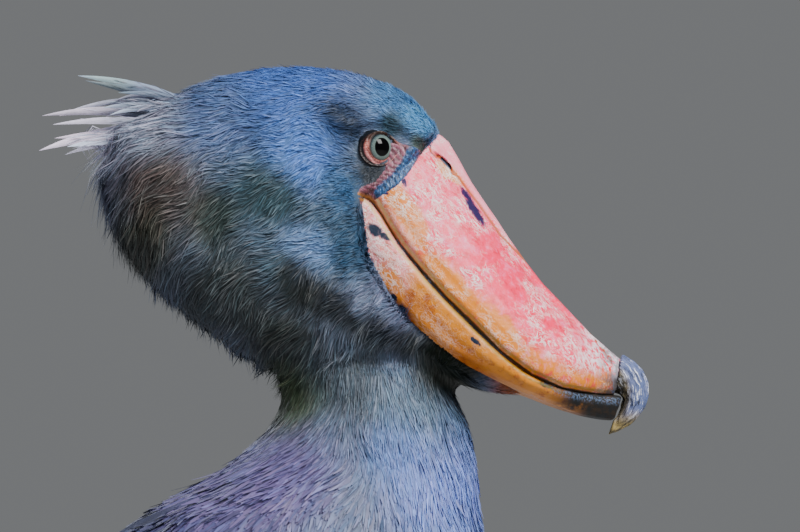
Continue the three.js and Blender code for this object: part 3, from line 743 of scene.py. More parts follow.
# %% Read the skin
skin_points = coordinates(skin.data)
skin.data.calc_loop_triangles()
skin_faces = np.empty(len(skin.data.loop_triangles) * 3, dtype=int)
skin.data.loop_triangles.foreach_get("vertices", skin_faces)
skin_faces = skin_faces.reshape(-1, 3)
skin_tree = BVHTree.FromPolygons(skin_points.tolist(), skin_faces.tolist())
skin_outward = normals_of(skin.data)
face_outward = skin_outward[skin_faces].mean(axis=1)
face_outward /= np.linalg.norm(face_outward, axis=1)[:, None]
face_middle = skin_points[skin_faces].mean(axis=1)
edge_a = skin_points[skin_faces[:, 1]] - skin_points[skin_faces[:, 0]]
edge_b = skin_points[skin_faces[:, 2]] - skin_points[skin_faces[:, 0]]
face_area = np.linalg.norm(np.cross(edge_a, edge_b), axis=1) / 2
print("skin faces to lay on", len(skin_faces))

# %% Comb the skin and strew roots
AROUND = [(dx, dy, dz) for dx in (-1, 0, 1) for dy in (-1, 0, 1) for dz in (-1, 0, 1)]


def unit(vectors):
    return vectors / np.maximum(np.linalg.norm(vectors, axis=-1, keepdims=True), 1e-9)


def comb(points, guides):
    """Blends the guides at each point: the way to lie, then length, half width and lift in mm."""
    guides = np.asarray(guides, dtype=float)
    spots = from_eyes(points)
    sides = np.where(spots[:, 1] < 0, -1.0, 1.0)
    spots[:, 1] = np.abs(spots[:, 1])
    gap = ((spots[:, None, :] - guides[None, :, :3]) ** 2).sum(axis=2)
    weight = 1 / (gap + 30) ** 2
    weight /= weight.sum(axis=1)[:, None]
    ways = weight @ unit(guides[:, 3:6])
    ways[:, 1] *= sides
    return ways, weight @ guides[:, 6:]


def scatter(number, keep):
    """Roots spread over the part of the skin that keep(points) picks, by area times its weight."""
    share = face_area * keep(from_eyes(face_middle), face_outward)
    chosen = draw.choice(len(share), size=number, p=share / share.sum())
    a, b = draw.random((2, number, 1))
    flip = (a + b) > 1
    a, b = np.where(flip, 1 - a, a), np.where(flip, 1 - b, b)
    corner = skin_points[skin_faces[chosen, 0]]
    roots = corner + a * edge_a[chosen] + b * edge_b[chosen]
    return roots, face_outward[chosen]


def spaced(points, gaps):
    """Which points to keep so that none lies nearer to another than its own gap."""
    size = np.max(gaps)
    cells, kept = {}, []
    for index, cell in enumerate(map(tuple, (points // size).astype(int))):
        near = False
        for dx, dy, dz in AROUND:
            for other in cells.get((cell[0] + dx, cell[1] + dy, cell[2] + dz), ()):
                if ((points[other] - points[index]) ** 2).sum() < gaps[index] ** 2:
                    near = True
        if not near:
            kept.append(index)
            cells.setdefault(cell, []).append(index)
    return kept


print("places next to a cell", len(AROUND))


# %% Trace the feathers' middle lines
def ripple(points, directions, scale, seed):
    """Soft bumps made of a few waves in chosen directions, from -1 to 1."""
    chance = np.random.default_rng(seed)
    total = np.zeros(len(points))
    for _ in range(7):
        way = directions @ chance.normal(0, 1, directions.shape[1])
        total += np.sin(points @ way / scale + chance.uniform(0, 6.3))
    return total / 7


def trace(roots, outward, guides, rows, reach, swing):
    """Walks each feather's middle line over the skin, following the guides with a loose swing."""
    bend = swing * (ripple(from_eyes(roots), np.eye(3), 5.0, 2) + draw.normal(0, 0.13, len(roots)))
    middles, normals, ways = [roots], [outward], []
    at, up = roots.copy(), outward.copy()
    for row in range(rows):
        way, _ = comb(at, guides)
        way = unit(way - up * (way * up).sum(axis=1)[:, None])
        way = unit(way + np.cross(up, way) * bend[:, None])
        ways.append(way)
        if row == rows - 1:
            break
        ahead = at + way * (reach / (rows - 1))[:, None]
        found = [skin_tree.find_nearest(point) for point in ahead.tolist()]
        at = np.array([hit[0] for hit in found])
        up = face_outward[[hit[2] for hit in found]]
        middles.append(at)
        normals.append(up)
    return np.stack(middles, 1), np.stack(normals, 1), np.stack(ways, 1)


print("tracing ready")


# %% Make pieces out of points
def mesh_of(name, points, faces, plume=None, patch=None):
    """One mesh from arrays of points and four-sided faces, with the feathers' own values."""
    mesh = bpy.data.meshes.new(name)
    corners = faces.shape[1]
    mesh.vertices.add(len(points))
    mesh.vertices.foreach_set("co", points.ravel())
    mesh.loops.add(faces.size)
    mesh.loops.foreach_set("vertex_index", faces.ravel())
    mesh.polygons.add(len(faces))
    mesh.polygons.foreach_set("loop_start", np.arange(0, faces.size, corners))
    mesh.polygons.foreach_set("loop_total", np.full(len(faces), corners))
    mesh.update(calc_edges=True)
    mesh.polygons.foreach_set("use_smooth", np.full(len(faces), True))
    if plume is not None:
        layer = mesh.attributes.new("plume", "FLOAT_VECTOR", "POINT")
        layer.data.foreach_set("vector", plume.ravel())
    if patch is not None:
        layer = mesh.uv_layers.new(name="OFBake")
        layer.data.foreach_set("uv", patch[faces.ravel()].ravel())
    mesh.validate()
    return shown(name, mesh)


def finished(piece, material, slot, *nodes):
    piece.data.materials.clear()
    piece.data.materials.append(material)
    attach(piece, "root")
    if nodes:
        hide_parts(*nodes)


PATCH_SIZE = 0.003


def unwrapped(roots, axis_low, axis_high):
    """Roots unrolled round an axis through the form: the turn round it, and the way along it."""
    axis_low, axis_high = np.array([axis_low, axis_high], dtype=float)
    axis = unit((axis_high - axis_low)[None])[0]
    side = np.array([0.0, 1.0, 0.0])
    up = np.cross(axis, side)
    spots = from_eyes(roots) - axis_low
    turn = np.arctan2(spots @ side, spots @ up) / (2 * math.pi) + 0.5
    along = (spots @ axis) / np.linalg.norm(axis_high - axis_low)
    return np.stack([0.01 + 0.98 * turn, 0.01 + 0.98 * np.clip(along, 0, 1)], 1)


print("patch size", PATCH_SIZE)


# %% Make the vanes
def blades(name, middles, normals, ways, half, lift, profile, columns, home,
           cup=0.15, roll=0.3, sink=0.3):
    """Feathers as thin vanes on their traced lines. Lift is how far each tip stands off."""
    count, rows = middles.shape[:2]
    u = np.linspace(0, 1, rows)
    w = np.linspace(-1, 1, columns)
    side = unit(np.cross(normals, ways))
    tilt = draw.normal(0, roll, (count, 1, 1))
    side = unit(side + normals * tilt)
    width = half[:, None] * np.interp(u, *profile)[None, :]
    height = lift[:, None] * (u**1.3)[None, :] - sink * (1 - u)[None, :]
    bow = cup * width[:, :, None] * (w**2)[None, None, :]
    up = height[:, :, None] - bow
    grid = middles[:, :, None, :] + MM * normals[:, :, None, :] * up[..., None]
    grid = grid + MM * side[:, :, None, :] * (width[:, :, None] * w[None, None, :])[..., None]
    chance = draw.random(count)
    plume = np.zeros(grid.shape)
    plume[..., 0] = w[None, None, :]
    plume[..., 1] = u[None, :, None]
    plume[..., 2] = chance[:, None, None]
    patch = np.zeros(grid.shape[:3] + (2,))
    patch[..., 0] = home[:, None, None, 0] + PATCH_SIZE * 0.45 * w[None, None, :]
    patch[..., 1] = home[:, None, None, 1] + PATCH_SIZE * 0.9 * (u[None, :, None] - 0.5)
    quads = grid_faces(rows, columns, False)
    faces = (quads[None] + (np.arange(count) * rows * columns)[:, None, None]).reshape(-1, 4)
    return mesh_of(name, grid.reshape(-1, 3), faces, plume.reshape(-1, 3), patch.reshape(-1, 2))


print("vanes ready")

# %% [markdown]
# The coat's finish takes the plumage's colour and varies it by feather: each is dark at its root,
# paler at its tip, and a little lighter or darker than its neighbours. Fine barbs show as thin
# slanting lines.


# %% Paint the coats
def coat_finish(name, root=0.5, tip=1.25, spread=0.35, edge=0.0, shaft=0.0, barbs=0.0, shine=0.35):
    finish = Finish(name, Roughness=0.55, Specular_IOR_Level=shine)
    across, along, chance = finish.split(finish.attribute("plume"))
    spot = finish.spot()
    mottle = finish.noise(spot, 0.16, 3, 0.6)
    speck = finish.noise(spot, 0.55, 3, 0.7)
    x, _, z = finish.split(spot)
    rough = x.step(-40, 14) * z.step(-40, 0) * 1.3 + 0.25
    tone = along * (tip - root) + root + (chance - 0.5) * spread + (mottle - 0.5) * 0.6
    tone = tone + (speck - 0.5) * rough
    tone = tone + chance.step(0.86, 0.9) * spread - (1 - chance.step(0.1, 0.14)) * spread * 0.6
    if edge:
        rim = abs(across).step(0.74, 0.96) * along.step(0.15, 0.6)
        tone = tone + rim * edge
    if shaft:
        tone = tone - (1 - abs(across).step(0.04, 0.12)) * shaft
    if barbs:
        fringe = (along * 90 + abs(across) * 14 + chance * 9).sum("SINE")
        tone = tone + fringe * barbs
    tint = (chance * 7.3).sum("FRACT")
    warm = finish.mix(tint, srgb(226, 244, 255), srgb(255, 238, 244))
    node = finish.make("ShaderNodeMix", {"data_type": "RGBA", "blend_type": "MULTIPLY"}, {0: 1.0})
    finish.feed(node.inputs[6], plumage(finish))
    finish.feed(node.inputs[7], warm)
    return finish.paint(finish.scaled(node.outputs[2], tone))


hair_finish = coat_finish("coat_fine", root=0.74, tip=1.2, spread=0.36)
plume_finish = coat_finish("coat_lances", root=0.8, tip=1.0, spread=0.12, edge=0.62, shaft=0.1, barbs=0.04)
vane_finish = coat_finish("coat_vanes", root=0.78, tip=0.98, spread=0.16, edge=0.32, shaft=0.3, barbs=0.06)
throat_finish = coat_finish("coat_throat", root=0.8, tip=1.0, spread=0.3, shine=0.08)
HAIR = ([0, 0.3, 1], [0.7, 1.0, 0.12])
LANCE = ([0, 0.3, 0.7, 0.9, 1], [0.55, 1.0, 0.85, 0.45, 0.04])
print("coat finishes", 4)

# %% [markdown]
# ### Head
# The head's coat is the finest. On the crown it runs straight back, over the cheeks it falls back and
# down in loose strokes, and at the nape it hangs almost straight down. The bare face stays clear.

# %% Guide the coat of the head
HEAD_GUIDES = [
    # place, the way to lie, length, half width, lift
    (36, 0, 14, -0.5, 0.0, 0.86, 4.8, 0.37, 0.8),
    (30, 22, 8, -0.7, 0.2, 0.6, 4.3, 0.33, 0.8),
    (18, 0, 35, -0.9, 0.0, 0.5, 6.6, 0.41, 0.7),
    (12, 36, 16, -0.95, 0.1, 0.25, 4.8, 0.37, 1.0),
    (-14, 44, 14, -0.95, 0.05, -0.1, 6.6, 0.41, 1.4),
    (-20, 20, 48, -1.0, 0.1, 0.15, 8.5, 0.41, 0.84),
    (-70, 0, 55, -1.0, 0.0, 0.0, 11.4, 0.45, 0.98),
    (-60, 40, 40, -1.0, 0.1, -0.1, 10.4, 0.45, 0.98),
    (-115, 0, 43, -0.95, 0.0, -0.3, 14.2, 0.49, 1.4),
    (-105, 40, 26, -0.97, 0.0, -0.2, 13.3, 0.49, 1.4),
    (-146, 16, 18, -0.97, 0.0, -0.2, 31.4, 0.53, 4.2),
    (-166, 0, 0, -0.9, 0.0, -0.45, 31.4, 0.53, 6.2),
    (-155, 36, -15, -0.7, 0.0, -0.7, 22.4, 0.49, 4.5),
    (-176, 0, -40, -0.3, 0.0, -0.95, 22.4, 0.53, 5.8),
    (-150, 40, -60, -0.35, 0.0, -0.95, 15.7, 0.49, 3.8),
    (-36, 50, 8, -0.85, 0.2, 0.25, 6.6, 0.41, 1.6),
    (-55, 58, 4, -0.9, 0.0, -0.35, 8.5, 0.41, 1.8),
    (-22, 56, -18, -0.8, 0.1, -0.4, 6.6, 0.41, 1.6),
    (-90, 58, -8, -0.8, 0.0, -0.6, 11.4, 0.45, 2.2),
    (-120, 50, -20, -0.75, 0.0, -0.66, 12.3, 0.45, 2.4),
    (-60, 62, -50, -0.88, 0.0, -0.48, 9.5, 0.41, 1.8),
    (-20, 60, -60, -0.9, 0.0, -0.4, 7.6, 0.41, 1.8),
    (-100, 58, -60, -0.75, 0.0, -0.66, 11.4, 0.45, 2.2),
    (-4, 55, -95, -0.85, 0.0, -0.5, 8.5, 0.41, 1.8),
    (-50, 60, -100, -0.72, 0.0, -0.7, 10.4, 0.45, 2.2),
    (-90, 45, -110, -0.45, 0.0, -0.9, 11.4, 0.49, 3.0),
    (16, 42, -122, -0.75, 0.1, -0.65, 13.3, 0.41, 3.8),
    (-30, 40, -138, -0.4, 0.0, -0.9, 16.1, 0.45, 4.2),
    (-60, 0, -138, -0.4, 0.0, -0.9, 16.1, 0.49, 4.2),
    (0, 40, -22, -0.9, 0.0, -0.3, 3.8, 0.33, 0.8),
    (-8, 42, -26, -0.8, 0.0, -0.5, 3.8, 0.33, 0.8),
]
print("head guides", len(HEAD_GUIDES))


# %% Lay the coat of the head
def collar(x):
    """The height where the head's coat ends and the neck's begins."""
    return -146 + 24 * smooth_step(x, -64, 8)


def on_head(spots, outward):
    side = spots[:, [0, 2]]
    edge_gap, _ = line_distance(side, FACE_EDGE)
    free = ~(bare_skin(side) | (inside(side, BILL_SPACE) & (edge_gap > 5)))
    face = 1 + 1.6 * smooth_step(side[:, 0], -60, 10) + 2.5 * np.exp(-((edge_gap / 5) ** 2))
    return free * (spots[:, 2] > collar(spots[:, 0])) * face


def lay_coat(name, number, keep, guides, rows, columns, profile, axis, material, slot,
             swing=1.2, loose=1.0, space=None, **more):
    """A whole coat: roots, traced lines and vanes, made as one piece."""
    roots, outward = scatter(number, keep)
    if space:
        kept = spaced(from_eyes(roots), space(from_eyes(roots)))
        roots, outward, number = roots[kept], outward[kept], len(kept)
    _, sizes = comb(roots, guides)
    wide = draw.uniform(0.75, 1.3, number)
    reach = sizes[:, 0] * draw.uniform(0.7, 1.25, number) * MM
    middles, normals, ways = trace(roots, outward, guides, rows, reach, swing)
    home = unwrapped(roots, *axis)
    lock = 1 + 1.1 * loose * ripple(from_eyes(roots), np.eye(3), 2.4, 5)
    lift = sizes[:, 2] * lock * np.minimum(1 + loose * (draw.exponential(0.5, number) - 0.65), 2.4)
    piece = blades(name, middles, normals, ways, sizes[:, 1] * wide, lift, profile, columns, home, **more)
    print(name, number, "feathers", len(piece.data.polygons) * 2, "triangles")
    finished(piece, material, slot)


HAIRS = 31000
HEAD_AXIS = ((60, 0, -20), (-190, 0, -40))
for side, sign in SIDES:
    lay_coat(f"coat_head_{side}", HAIRS, lambda p, n, s=sign: on_head(p, n) * (p[:, 1] * s > 0),
             HEAD_GUIDES, 4, 2, HAIR, HEAD_AXIS, hair_finish, "head_feathers")

# %% [markdown]
# ### Neck and breast
# On the neck the feathers are still hair-like and hang straight, so that they look like fine streaks.
# Lower down they grow into narrow lances. Over the shoulders they turn back and their pale edges show.

# %% Guide the coat of neck and body
BODY_GUIDES = [
    # place, the way to lie, length, half width, lift
    (36, 20, -150, 0.1, 0.0, -1.0, 15, 0.6, 1.0),
    (-10, 45, -150, 0.0, 0.0, -1.0, 16, 0.6, 1.1),
    (-62, 0, -150, -0.1, 0.0, -1.0, 16, 0.6, 1.1),
    (55, 20, -180, 0.2, 0.0, -0.98, 20, 0.8, 1.2),
    (0, 60, -180, 0.0, 0.1, -0.98, 20, 0.8, 1.2),
    (-70, 20, -185, -0.5, 0.0, -0.86, 20, 1.0, 1.2),
    (62, 20, -225, 0.05, 0.0, -1.0, 26, 1.3, 1.5),
    (20, 85, -225, 0.0, 0.1, -0.98, 26, 1.5, 1.5),
    (-34, 85, -215, -0.45, 0.2, -0.85, 28, 2.4, 1.9),
    (-85, 50, -215, -0.75, 0.15, -0.6, 34, 3.1, 2.4),
    (-110, 0, -215, -0.88, 0.0, -0.47, 36, 3.3, 2.4),
    (60, 30, -300, -0.1, 0.0, -1.0, 34, 2.4, 1.9),
    (10, 100, -320, -0.3, 0.1, -0.95, 34, 2.8, 1.9),
    (20, 40, -420, -0.5, 0.0, -0.85, 38, 3.4, 2.1),
    (-60, 60, -490, -0.9, 0.0, -0.35, 38, 4.2, 2.2),
    (-200, 60, -525, -1.0, 0.0, 0.0, 40, 5.0, 2.2),
    (-330, 50, -520, -1.0, 0.0, 0.1, 42, 5.5, 2.4),
    (-460, 20, -480, -0.95, 0.0, 0.1, 46, 6.0, 2.5),
    (-160, 0, -240, -0.9, 0.0, -0.42, 38, 3.8, 2.0),
    (-160, 60, -230, -0.85, 0.2, -0.5, 38, 3.8, 2.0),
    (-260, 0, -300, -0.88, 0.0, -0.48, 42, 6.5, 2.1),
    (-260, 90, -330, -0.85, 0.1, -0.5, 42, 6.5, 2.1),
    (-380, 0, -378, -0.86, 0.0, -0.5, 44, 7.5, 2.2),
    (-480, 0, -435, -0.86, 0.0, -0.5, 46, 8.0, 2.2),
    (-150, 118, -400, -0.8, 0.0, -0.6, 40, 4.2, 2.1),
]
print("body guides", len(BODY_GUIDES))


# %% Lay the coat of neck and body
def on_neck(spots, outward):
    height = spots[:, 2]
    free = ~inside(spots[:, [0, 2]], BILL_SPACE)
    return (height < collar(spots[:, 0]) + 9) * (height > -232) * free


def on_shoulders(spots, outward):
    fine = 1 + 1.0 * smooth_step(spots[:, 0], -40, 20)
    wing_edge = (abs(spots[:, 1]) > 84) & (spots[:, 2] > -480)
    return (spots[:, 2] < -190) * ((spots[:, 2] > -330) | wing_edge) * (spots[:, 0] > -190) * fine


def on_body(spots, outward):
    wing_skin = (abs(spots[:, 1]) > 84) * (spots[:, 2] < -225) * (spots[:, 2] > -492)
    hidden = wing_skin | ((spots[:, 0] < -470) & (spots[:, 2] > -480))
    shin = (spots[:, 2] < -528) | ((abs(spots[:, 1]) > 20) & (spots[:, 2] < -500) & (spots[:, 0] > -230))
    front = (spots[:, 2] > -320) & (spots[:, 0] > -180)
    return (spots[:, 2] < -190) * ~hidden * ~shin * ~front


def by_shoulder(spots):
    """Gaps between the roots: close on the breast and wide on the mantle."""
    return 5.4 - 3.5 * smooth_step(spots[:, 0], -60, 30)


def all_over(spots):
    """The same gap between all the roots."""
    return np.full(len(spots), BODY_GAP)


BODY_GAP = 4.6
BODY_AXIS = ((0, 0, -120), (-420, 0, -470))
lay_coat("coat_neck", HAIRS, on_neck, BODY_GUIDES, 4, 2, HAIR, BODY_AXIS, hair_finish,
         "neck_feathers", swing=0.6, loose=0.6, roll=0.3)
lay_coat("coat_shoulders", 12000, on_shoulders, BODY_GUIDES, 5, 3, LANCE, BODY_AXIS, plume_finish,
         "body_feathers", swing=0.35, loose=0.3, space=by_shoulder, roll=0.06, cup=0.07, sink=-0.4)
lay_coat("coat_body", 8500, on_body, BODY_GUIDES, 5, 3, LANCE, BODY_AXIS, plume_finish,
         "body_feathers", swing=0.3, loose=0.3, space=all_over, roll=0.06, cup=0.08, sink=-0.4)

# %% [markdown]
# ### Thighs and throat
# The thighs wear short plain feathers that hang down over the top of the bare leg. The pouch under
# the jaw has only a sparse, short olive down.

# %% Lay the coat of thighs and throat
THIGH_GUIDES = [
    (-140, 60, -480, -0.4, 0.0, -0.9, 24, 2.4, 2.0),
    (-150, 100, -520, -0.35, 0.0, -0.95, 23, 2.2, 2.0),
    (-170, 66, -580, -0.25, 0.0, -0.97, 20, 1.8, 1.8),
    (-186, 66, -640, -0.15, 0.0, -1.0, 20, 1.3, 1.4),
]
THROAT_GUIDES = [
    (20, 30, -132, -0.6, 0.0, -0.8, 8, 0.5, 0.9),
    (60, 20, -148, -0.8, 0.0, -0.4, 5, 0.45, 0.5),
    (110, 10, -156, -0.9, 0.0, -0.2, 4, 0.4, 0.5),
]


def on_thigh(spots, outward):
    return (spots[:, 2] < -486) * (spots[:, 0] > -236) * (spots[:, 0] < -70) * (abs(spots[:, 1]) > 14)


def on_throat(spots, outward):
    side = spots[:, [0, 2]]
    return inside(side, BILL_SPACE) * (spots[:, 0] > 14) * (spots[:, 0] < 104) * (outward[:, 2] < 0.2)


lay_coat("coat_throat", 9000, on_throat, THROAT_GUIDES, 4, 2, HAIR,
         ((0, 0, -100), (130, 0, -160)), throat_finish, "throat_skin", roll=0.35)
lay_coat("coat_thighs", 9000, on_thigh, THIGH_GUIDES, 5, 3, LANCE,
         ((-130, 0, -400), (-190, 0, -700)), plume_finish, "leg_feathers", swing=0.3, loose=0.5, roll=0.2)

# %% [markdown]
# ## Wings and tail
# The great feathers are laid one by one in their tiers, as they fold in life: primaries lowest and
# longest, then secondaries, then five tiers of coverts, each covering the roots of the one before,
# and last a few that close the wing over the back. Every vane has a shallow cup, and its shaft and
# barbs are painted on.

# %% Set out the tiers of the wing
WING_TIERS = [
    # count, half width, rise, step, root low, root high, tip low, tip high
    (9, 13, 2, 0.9, (0.55, 0.10), (0.53, 0.74), (0.99, 0.20), (0.90, 0.82)),
    (12, 17, 9, 0.65, (0.37, 0.07), (0.39, 0.93), (0.74, 0.04), (0.89, 0.94)),
    (13, 14, 10, 0.4, (0.25, 0.05), (0.24, 0.72), (0.50, 0.03), (0.57, 0.86)),
    (13, 13, 12, 0.3, (0.16, 0.06), (0.16, 0.66), (0.36, 0.04), (0.40, 0.80)),
    (13, 11, 13, 0.25, (0.09, 0.08), (0.10, 0.64), (0.25, 0.05), (0.27, 0.70)),
    (12, 10, 13.5, 0.2, (0.03, 0.12), (0.05, 0.62), (0.17, 0.08), (0.19, 0.66)),
    (8, 9, 14, 0.2, (-0.02, 0.2), (0.0, 0.60), (0.11, 0.14), (0.12, 0.64)),
    (6, 13, 12.5, 0.8, (0.60, 0.78), (0.62, 1.0), (0.80, 0.84), (0.86, 1.0)),
]
VANE_SHAPE = ([0, 0.12, 0.45, 0.75, 0.9, 0.97, 1], [0.25, 0.7, 1.0, 0.96, 0.72, 0.42, 0.06])
VANE_ROWS = 13


def vane_lines(tier, side):
    """Middle lines, normals and ways of a tier's feathers on the wing's face, in metres."""
    count, half, rise, step, root_low, root_high, tip_low, tip_high = tier
    order = np.linspace(0, 1, count)[:, None]
    root = np.array(root_low) * (1 - order) + np.array(root_high) * order
    tip = np.array(tip_low) * (1 - order) + np.array(tip_high) * order
    tip = tip + draw.normal(0, 0.006, tip.shape)
    u = np.linspace(0, 1, VANE_ROWS)[None, :]
    s = np.clip(root[:, :1] * (1 - u) + tip[:, :1] * u, 0.001, 1)
    v = root[:, 1:] * (1 - u) + tip[:, 1:] * u
    here = wing_place(s, v, side)
    ahead = np.gradient(here, axis=1)
    up = wing_place(s, v + 0.02, side) - wing_place(s, v - 0.02, side)
    ways = unit(ahead)
    across = unit(up - ways * (up * ways).sum(-1, keepdims=True))
    normals = unit(np.cross(across, ways)) * side
    height = 0.62 * ((rise + 5.5) * u**0.5 - 5.5) + step * np.arange(count)[:, None]
    return here * MM + ORIGIN + normals * height[..., None] * MM, normals, ways


print("tiers", len(WING_TIERS), "feathers in a wing", sum(tier[0] for tier in WING_TIERS))

# %% Lay the wing feathers
for side, sign in SIDES:
    parts = []
    for tier in WING_TIERS:
        middles, normals, ways = vane_lines(tier, sign)
        half = np.full(len(middles), float(tier[1])) * draw.uniform(0.92, 1.08, len(middles))
        home = unwrapped(middles[:, 0], (20, sign * 70, -300), (-600, sign * 30, -480))
        home = home * 0.9 + 0.05 * draw.random((len(middles), 1))
        parts.append(blades("vanes", middles, normals, ways, half, np.full(len(middles), 0.6), VANE_SHAPE,
                            7, home, cup=0.07, roll=0.02, sink=0.0))
    wing = joined(parts)
    wing.name = f"wing_feathers_{side}"
    finished(wing, vane_finish, "wing_feathers")
    print(wing.name, len(wing.data.polygons) * 2, "triangles")

# %% [markdown]
# The tail is short and square. Its middle feathers lie on top and the outer ones fan out below them,
# with a cloak of coverts over their roots.

# %% Lay the tail feathers
TAIL_TIERS = [(12, 178, 15, 0, -2), (9, 110, 13, 5, 3), (7, 78, 12, 9, 7)]
parts = []
for count, length, half, rise, lift in TAIL_TIERS:
    rank = np.arange(count) - (count - 1) / 2
    turn = (TAIL["spread"] * rank * 2 / (count - 1))[:, None]
    u = np.linspace(0, 1, VANE_ROWS)[None, :]
    reach = length * (1 - 0.0016 * rank**2)[:, None] * u
    across = reach * np.sin(turn) + (rank * 0.8 * 32 * 2 / count)[:, None]
    level = (2 * np.floor(abs(rank)) + (rank > 0))[:, None]
    up = lift + rise * u - 1.1 * level
    middles = tail_place(reach * np.cos(turn) - 20, across, up)
    ways = unit(np.gradient(middles, axis=1))
    over = unit(np.array([math.sin(TAIL["slope"]), 0, math.cos(TAIL["slope"])]) + 0 * ways)
    normals = unit(over - ways * (over * ways).sum(-1, keepdims=True))
    middles = middles * MM + ORIGIN
    home = unwrapped(middles[:, 0], (-440, 0, -430), (-600, 0, -530))
    parts.append(blades("vanes", middles, normals, ways, np.full(count, float(half)), np.full(count, 0.5),
                        VANE_SHAPE, 7, home, cup=0.06, roll=0.01, sink=0.0))
tail = joined(parts)
tail.name = "tail_feathers"
tail_finish = coat_finish("tail_vanes", root=0.5, tip=0.72, spread=0.12, edge=0.22, shaft=0.2, barbs=0.05)
finished(tail, tail_finish, "tail_feathers")
print("tail", len(tail.data.polygons) * 2, "triangles")

# %% [markdown]
# ### Crest
# A loose tuft of narrow plumes stands back from the hind crown: one high and rising, a pale level
# bunch, and one that droops towards the nape. The long ones are listed one by one and the rest fill in.

# %% Grow the crest
PLUMES = [
    # root x, y and z, tip x and z, half width
    (-126, -5, 30, -191, 45, 3.0),
    (-146, -9, 29, -197, 22, 1.9),
    (-134, -13, 18, -213, 19, 3.3),
    (-138, -17, 14, -206, 13, 2.6),
    (-148, -12, 11, -215, -3, 3.8),
    (-156, -16, 5, -197, -1, 3.0),
    (-127, 5, 29, -187, 43, 2.8),
    (-138, 10, 20, -204, 21, 3.0),
    (-144, 14, 12, -207, 7, 3.0),
    (-156, 10, 5, -200, -4, 3.0),
]
# Shorter, softer ones fill the tuft's base.
for i in range(40):
    down = draw.random()
    x, y, z = -122 - 26 * down, draw.uniform(-21, 21), 33 - 26 * down
    length, drop = draw.uniform(22, 44), math.radians(6 - 34 * down + draw.normal(0, 5))
    tip_x, tip_z = x - length * math.cos(drop), z + length * math.sin(drop)
    PLUMES.append((x, y, z, tip_x, tip_z, draw.uniform(1.6, 2.8)))
CREST_ROWS = 12
plumes = np.array(PLUMES)
roots = plumes[:, :3]
tips = np.stack([plumes[:, 3], roots[:, 1] * 1.15, plumes[:, 4]], 1)
reach = np.linalg.norm(tips - roots, axis=1)
ways_out = unit(tips - roots)
widths = plumes[:, 5]
u = np.linspace(0, 1, CREST_ROWS)[None, :, None]
sag = np.array([0, 0, 1.0]) * (draw.normal(2.5, 1.2, len(reach))[:, None, None] * 4 * u * (1 - u))
middles = roots[:, None] + ways_out[:, None] * reach[:, None, None] * u + sag
ways = unit(np.gradient(middles, axis=1))
lateral = unit(np.cross(np.array([0, 0, 1.0]), ways_out))[:, None]
twist = draw.uniform(0.9, 2.2, len(reach))[:, None, None]
above = unit(np.cross(ways, lateral) * np.cos(twist) + lateral * np.sin(twist))
middles = middles * MM + ORIGIN
home = unwrapped(middles[:, 0], *HEAD_AXIS)
crest = blades("crest", middles, above, ways, widths, np.full(len(reach), 0.3),
               ([0, 0.25, 0.6, 0.85, 1], [0.5, 1.0, 0.8, 0.4, 0.03]), 5, home, cup=0.35, roll=0.0, sink=0.0)
print("crest", len(reach), "plumes")

# %% Add loose barbs to the crest
# They stand along each plume like the hairs of a worn brush.
BARBS, BARB_ROWS = 22, 4
each = (len(reach), BARBS)
share = np.tile(np.linspace(0.0, 0.6, BARBS), (len(reach), 1)) + draw.normal(0, 0.01, each)
row = np.clip(share, 0, 1) * (CREST_ROWS - 1)
low_row = np.minimum(row.astype(int), CREST_ROWS - 2)
part = (row - low_row)[..., None]
plume = np.arange(len(reach))[:, None]
starts = middles[plume, low_row] * (1 - part) + middles[plume, low_row + 1] * part
lean = np.where(np.arange(BARBS) % 2 == 0, 1.0, -1.0)[None, :, None]
side = unit(np.cross(above, ways))[plume, low_row] * lean
spread_out = np.radians(draw.uniform(3, 13, each))[..., None]
barb_way = unit(ways[plume, low_row] * np.cos(spread_out) + side * np.sin(spread_out))
barb_way = barb_way + above[plume, low_row] * draw.normal(0, 0.06, (*each, 1))
size = (widths[:, None] * draw.uniform(3.5, 6.0, each) * (1.1 - 0.6 * share))[..., None, None]
steps_out = np.linspace(0, 1, BARB_ROWS)[None, None, :, None]
barb_middles = starts[:, :, None] + barb_way[:, :, None] * size * MM * steps_out
number = len(reach) * BARBS
barb_middles = barb_middles.reshape(number, BARB_ROWS, 3)
barb_up = np.repeat(above[plume, low_row].reshape(number, 1, 3), BARB_ROWS, axis=1)
barb_ways = np.repeat(unit(barb_way).reshape(number, 1, 3), BARB_ROWS, axis=1)
barb_home = np.repeat(home, BARBS, axis=0)
barbs = blades("barbs", barb_middles, barb_up, barb_ways, np.full(number, 0.3), np.full(number, 0.2),
               HAIR, 2, barb_home, cup=0.0, roll=0.3, sink=0.0)
joined([crest, barbs])
crest_finish = coat_finish("crest_plumes", root=0.62, tip=1.15, spread=0.25, edge=0.15, shaft=0.2,
                           barbs=0.06)
finished(crest, crest_finish, "head_feathers")
print("barbs", number)

# %% [markdown]
# ## The bill
# The great bill is horn over bone. Each half starts as a copy of its solid, cast again as a dense
# even surface. Its relief is then pressed in along lines in the side view: the groove that runs from
# the nostril to the nail, the raised rim along the mouth and the long faint ridges between. How far
# each point is from these lines is kept on the mesh, so that the paint can follow them exactly.

# %% Draw the lines of the bill
MOUTH = [(-14, -31.5), (-9, -33), (-4, -37), (3, -49), (12.6, -64), (25, -79), (41, -97), (57, -112.5)]
MOUTH += [(76, -131.5), (95, -145.5), (114, -153.5), (133, -156.7), (147, -157.5)]
GROOVE = [(32, -2), (47.5, -16), (63, -36.5), (76, -55.5), (98, -78), (120, -98.5), (133, -117.5)]
GROOVE += [(146, -135)]
NOSTRIL = [(33.5, -3.5), (47, -17)]


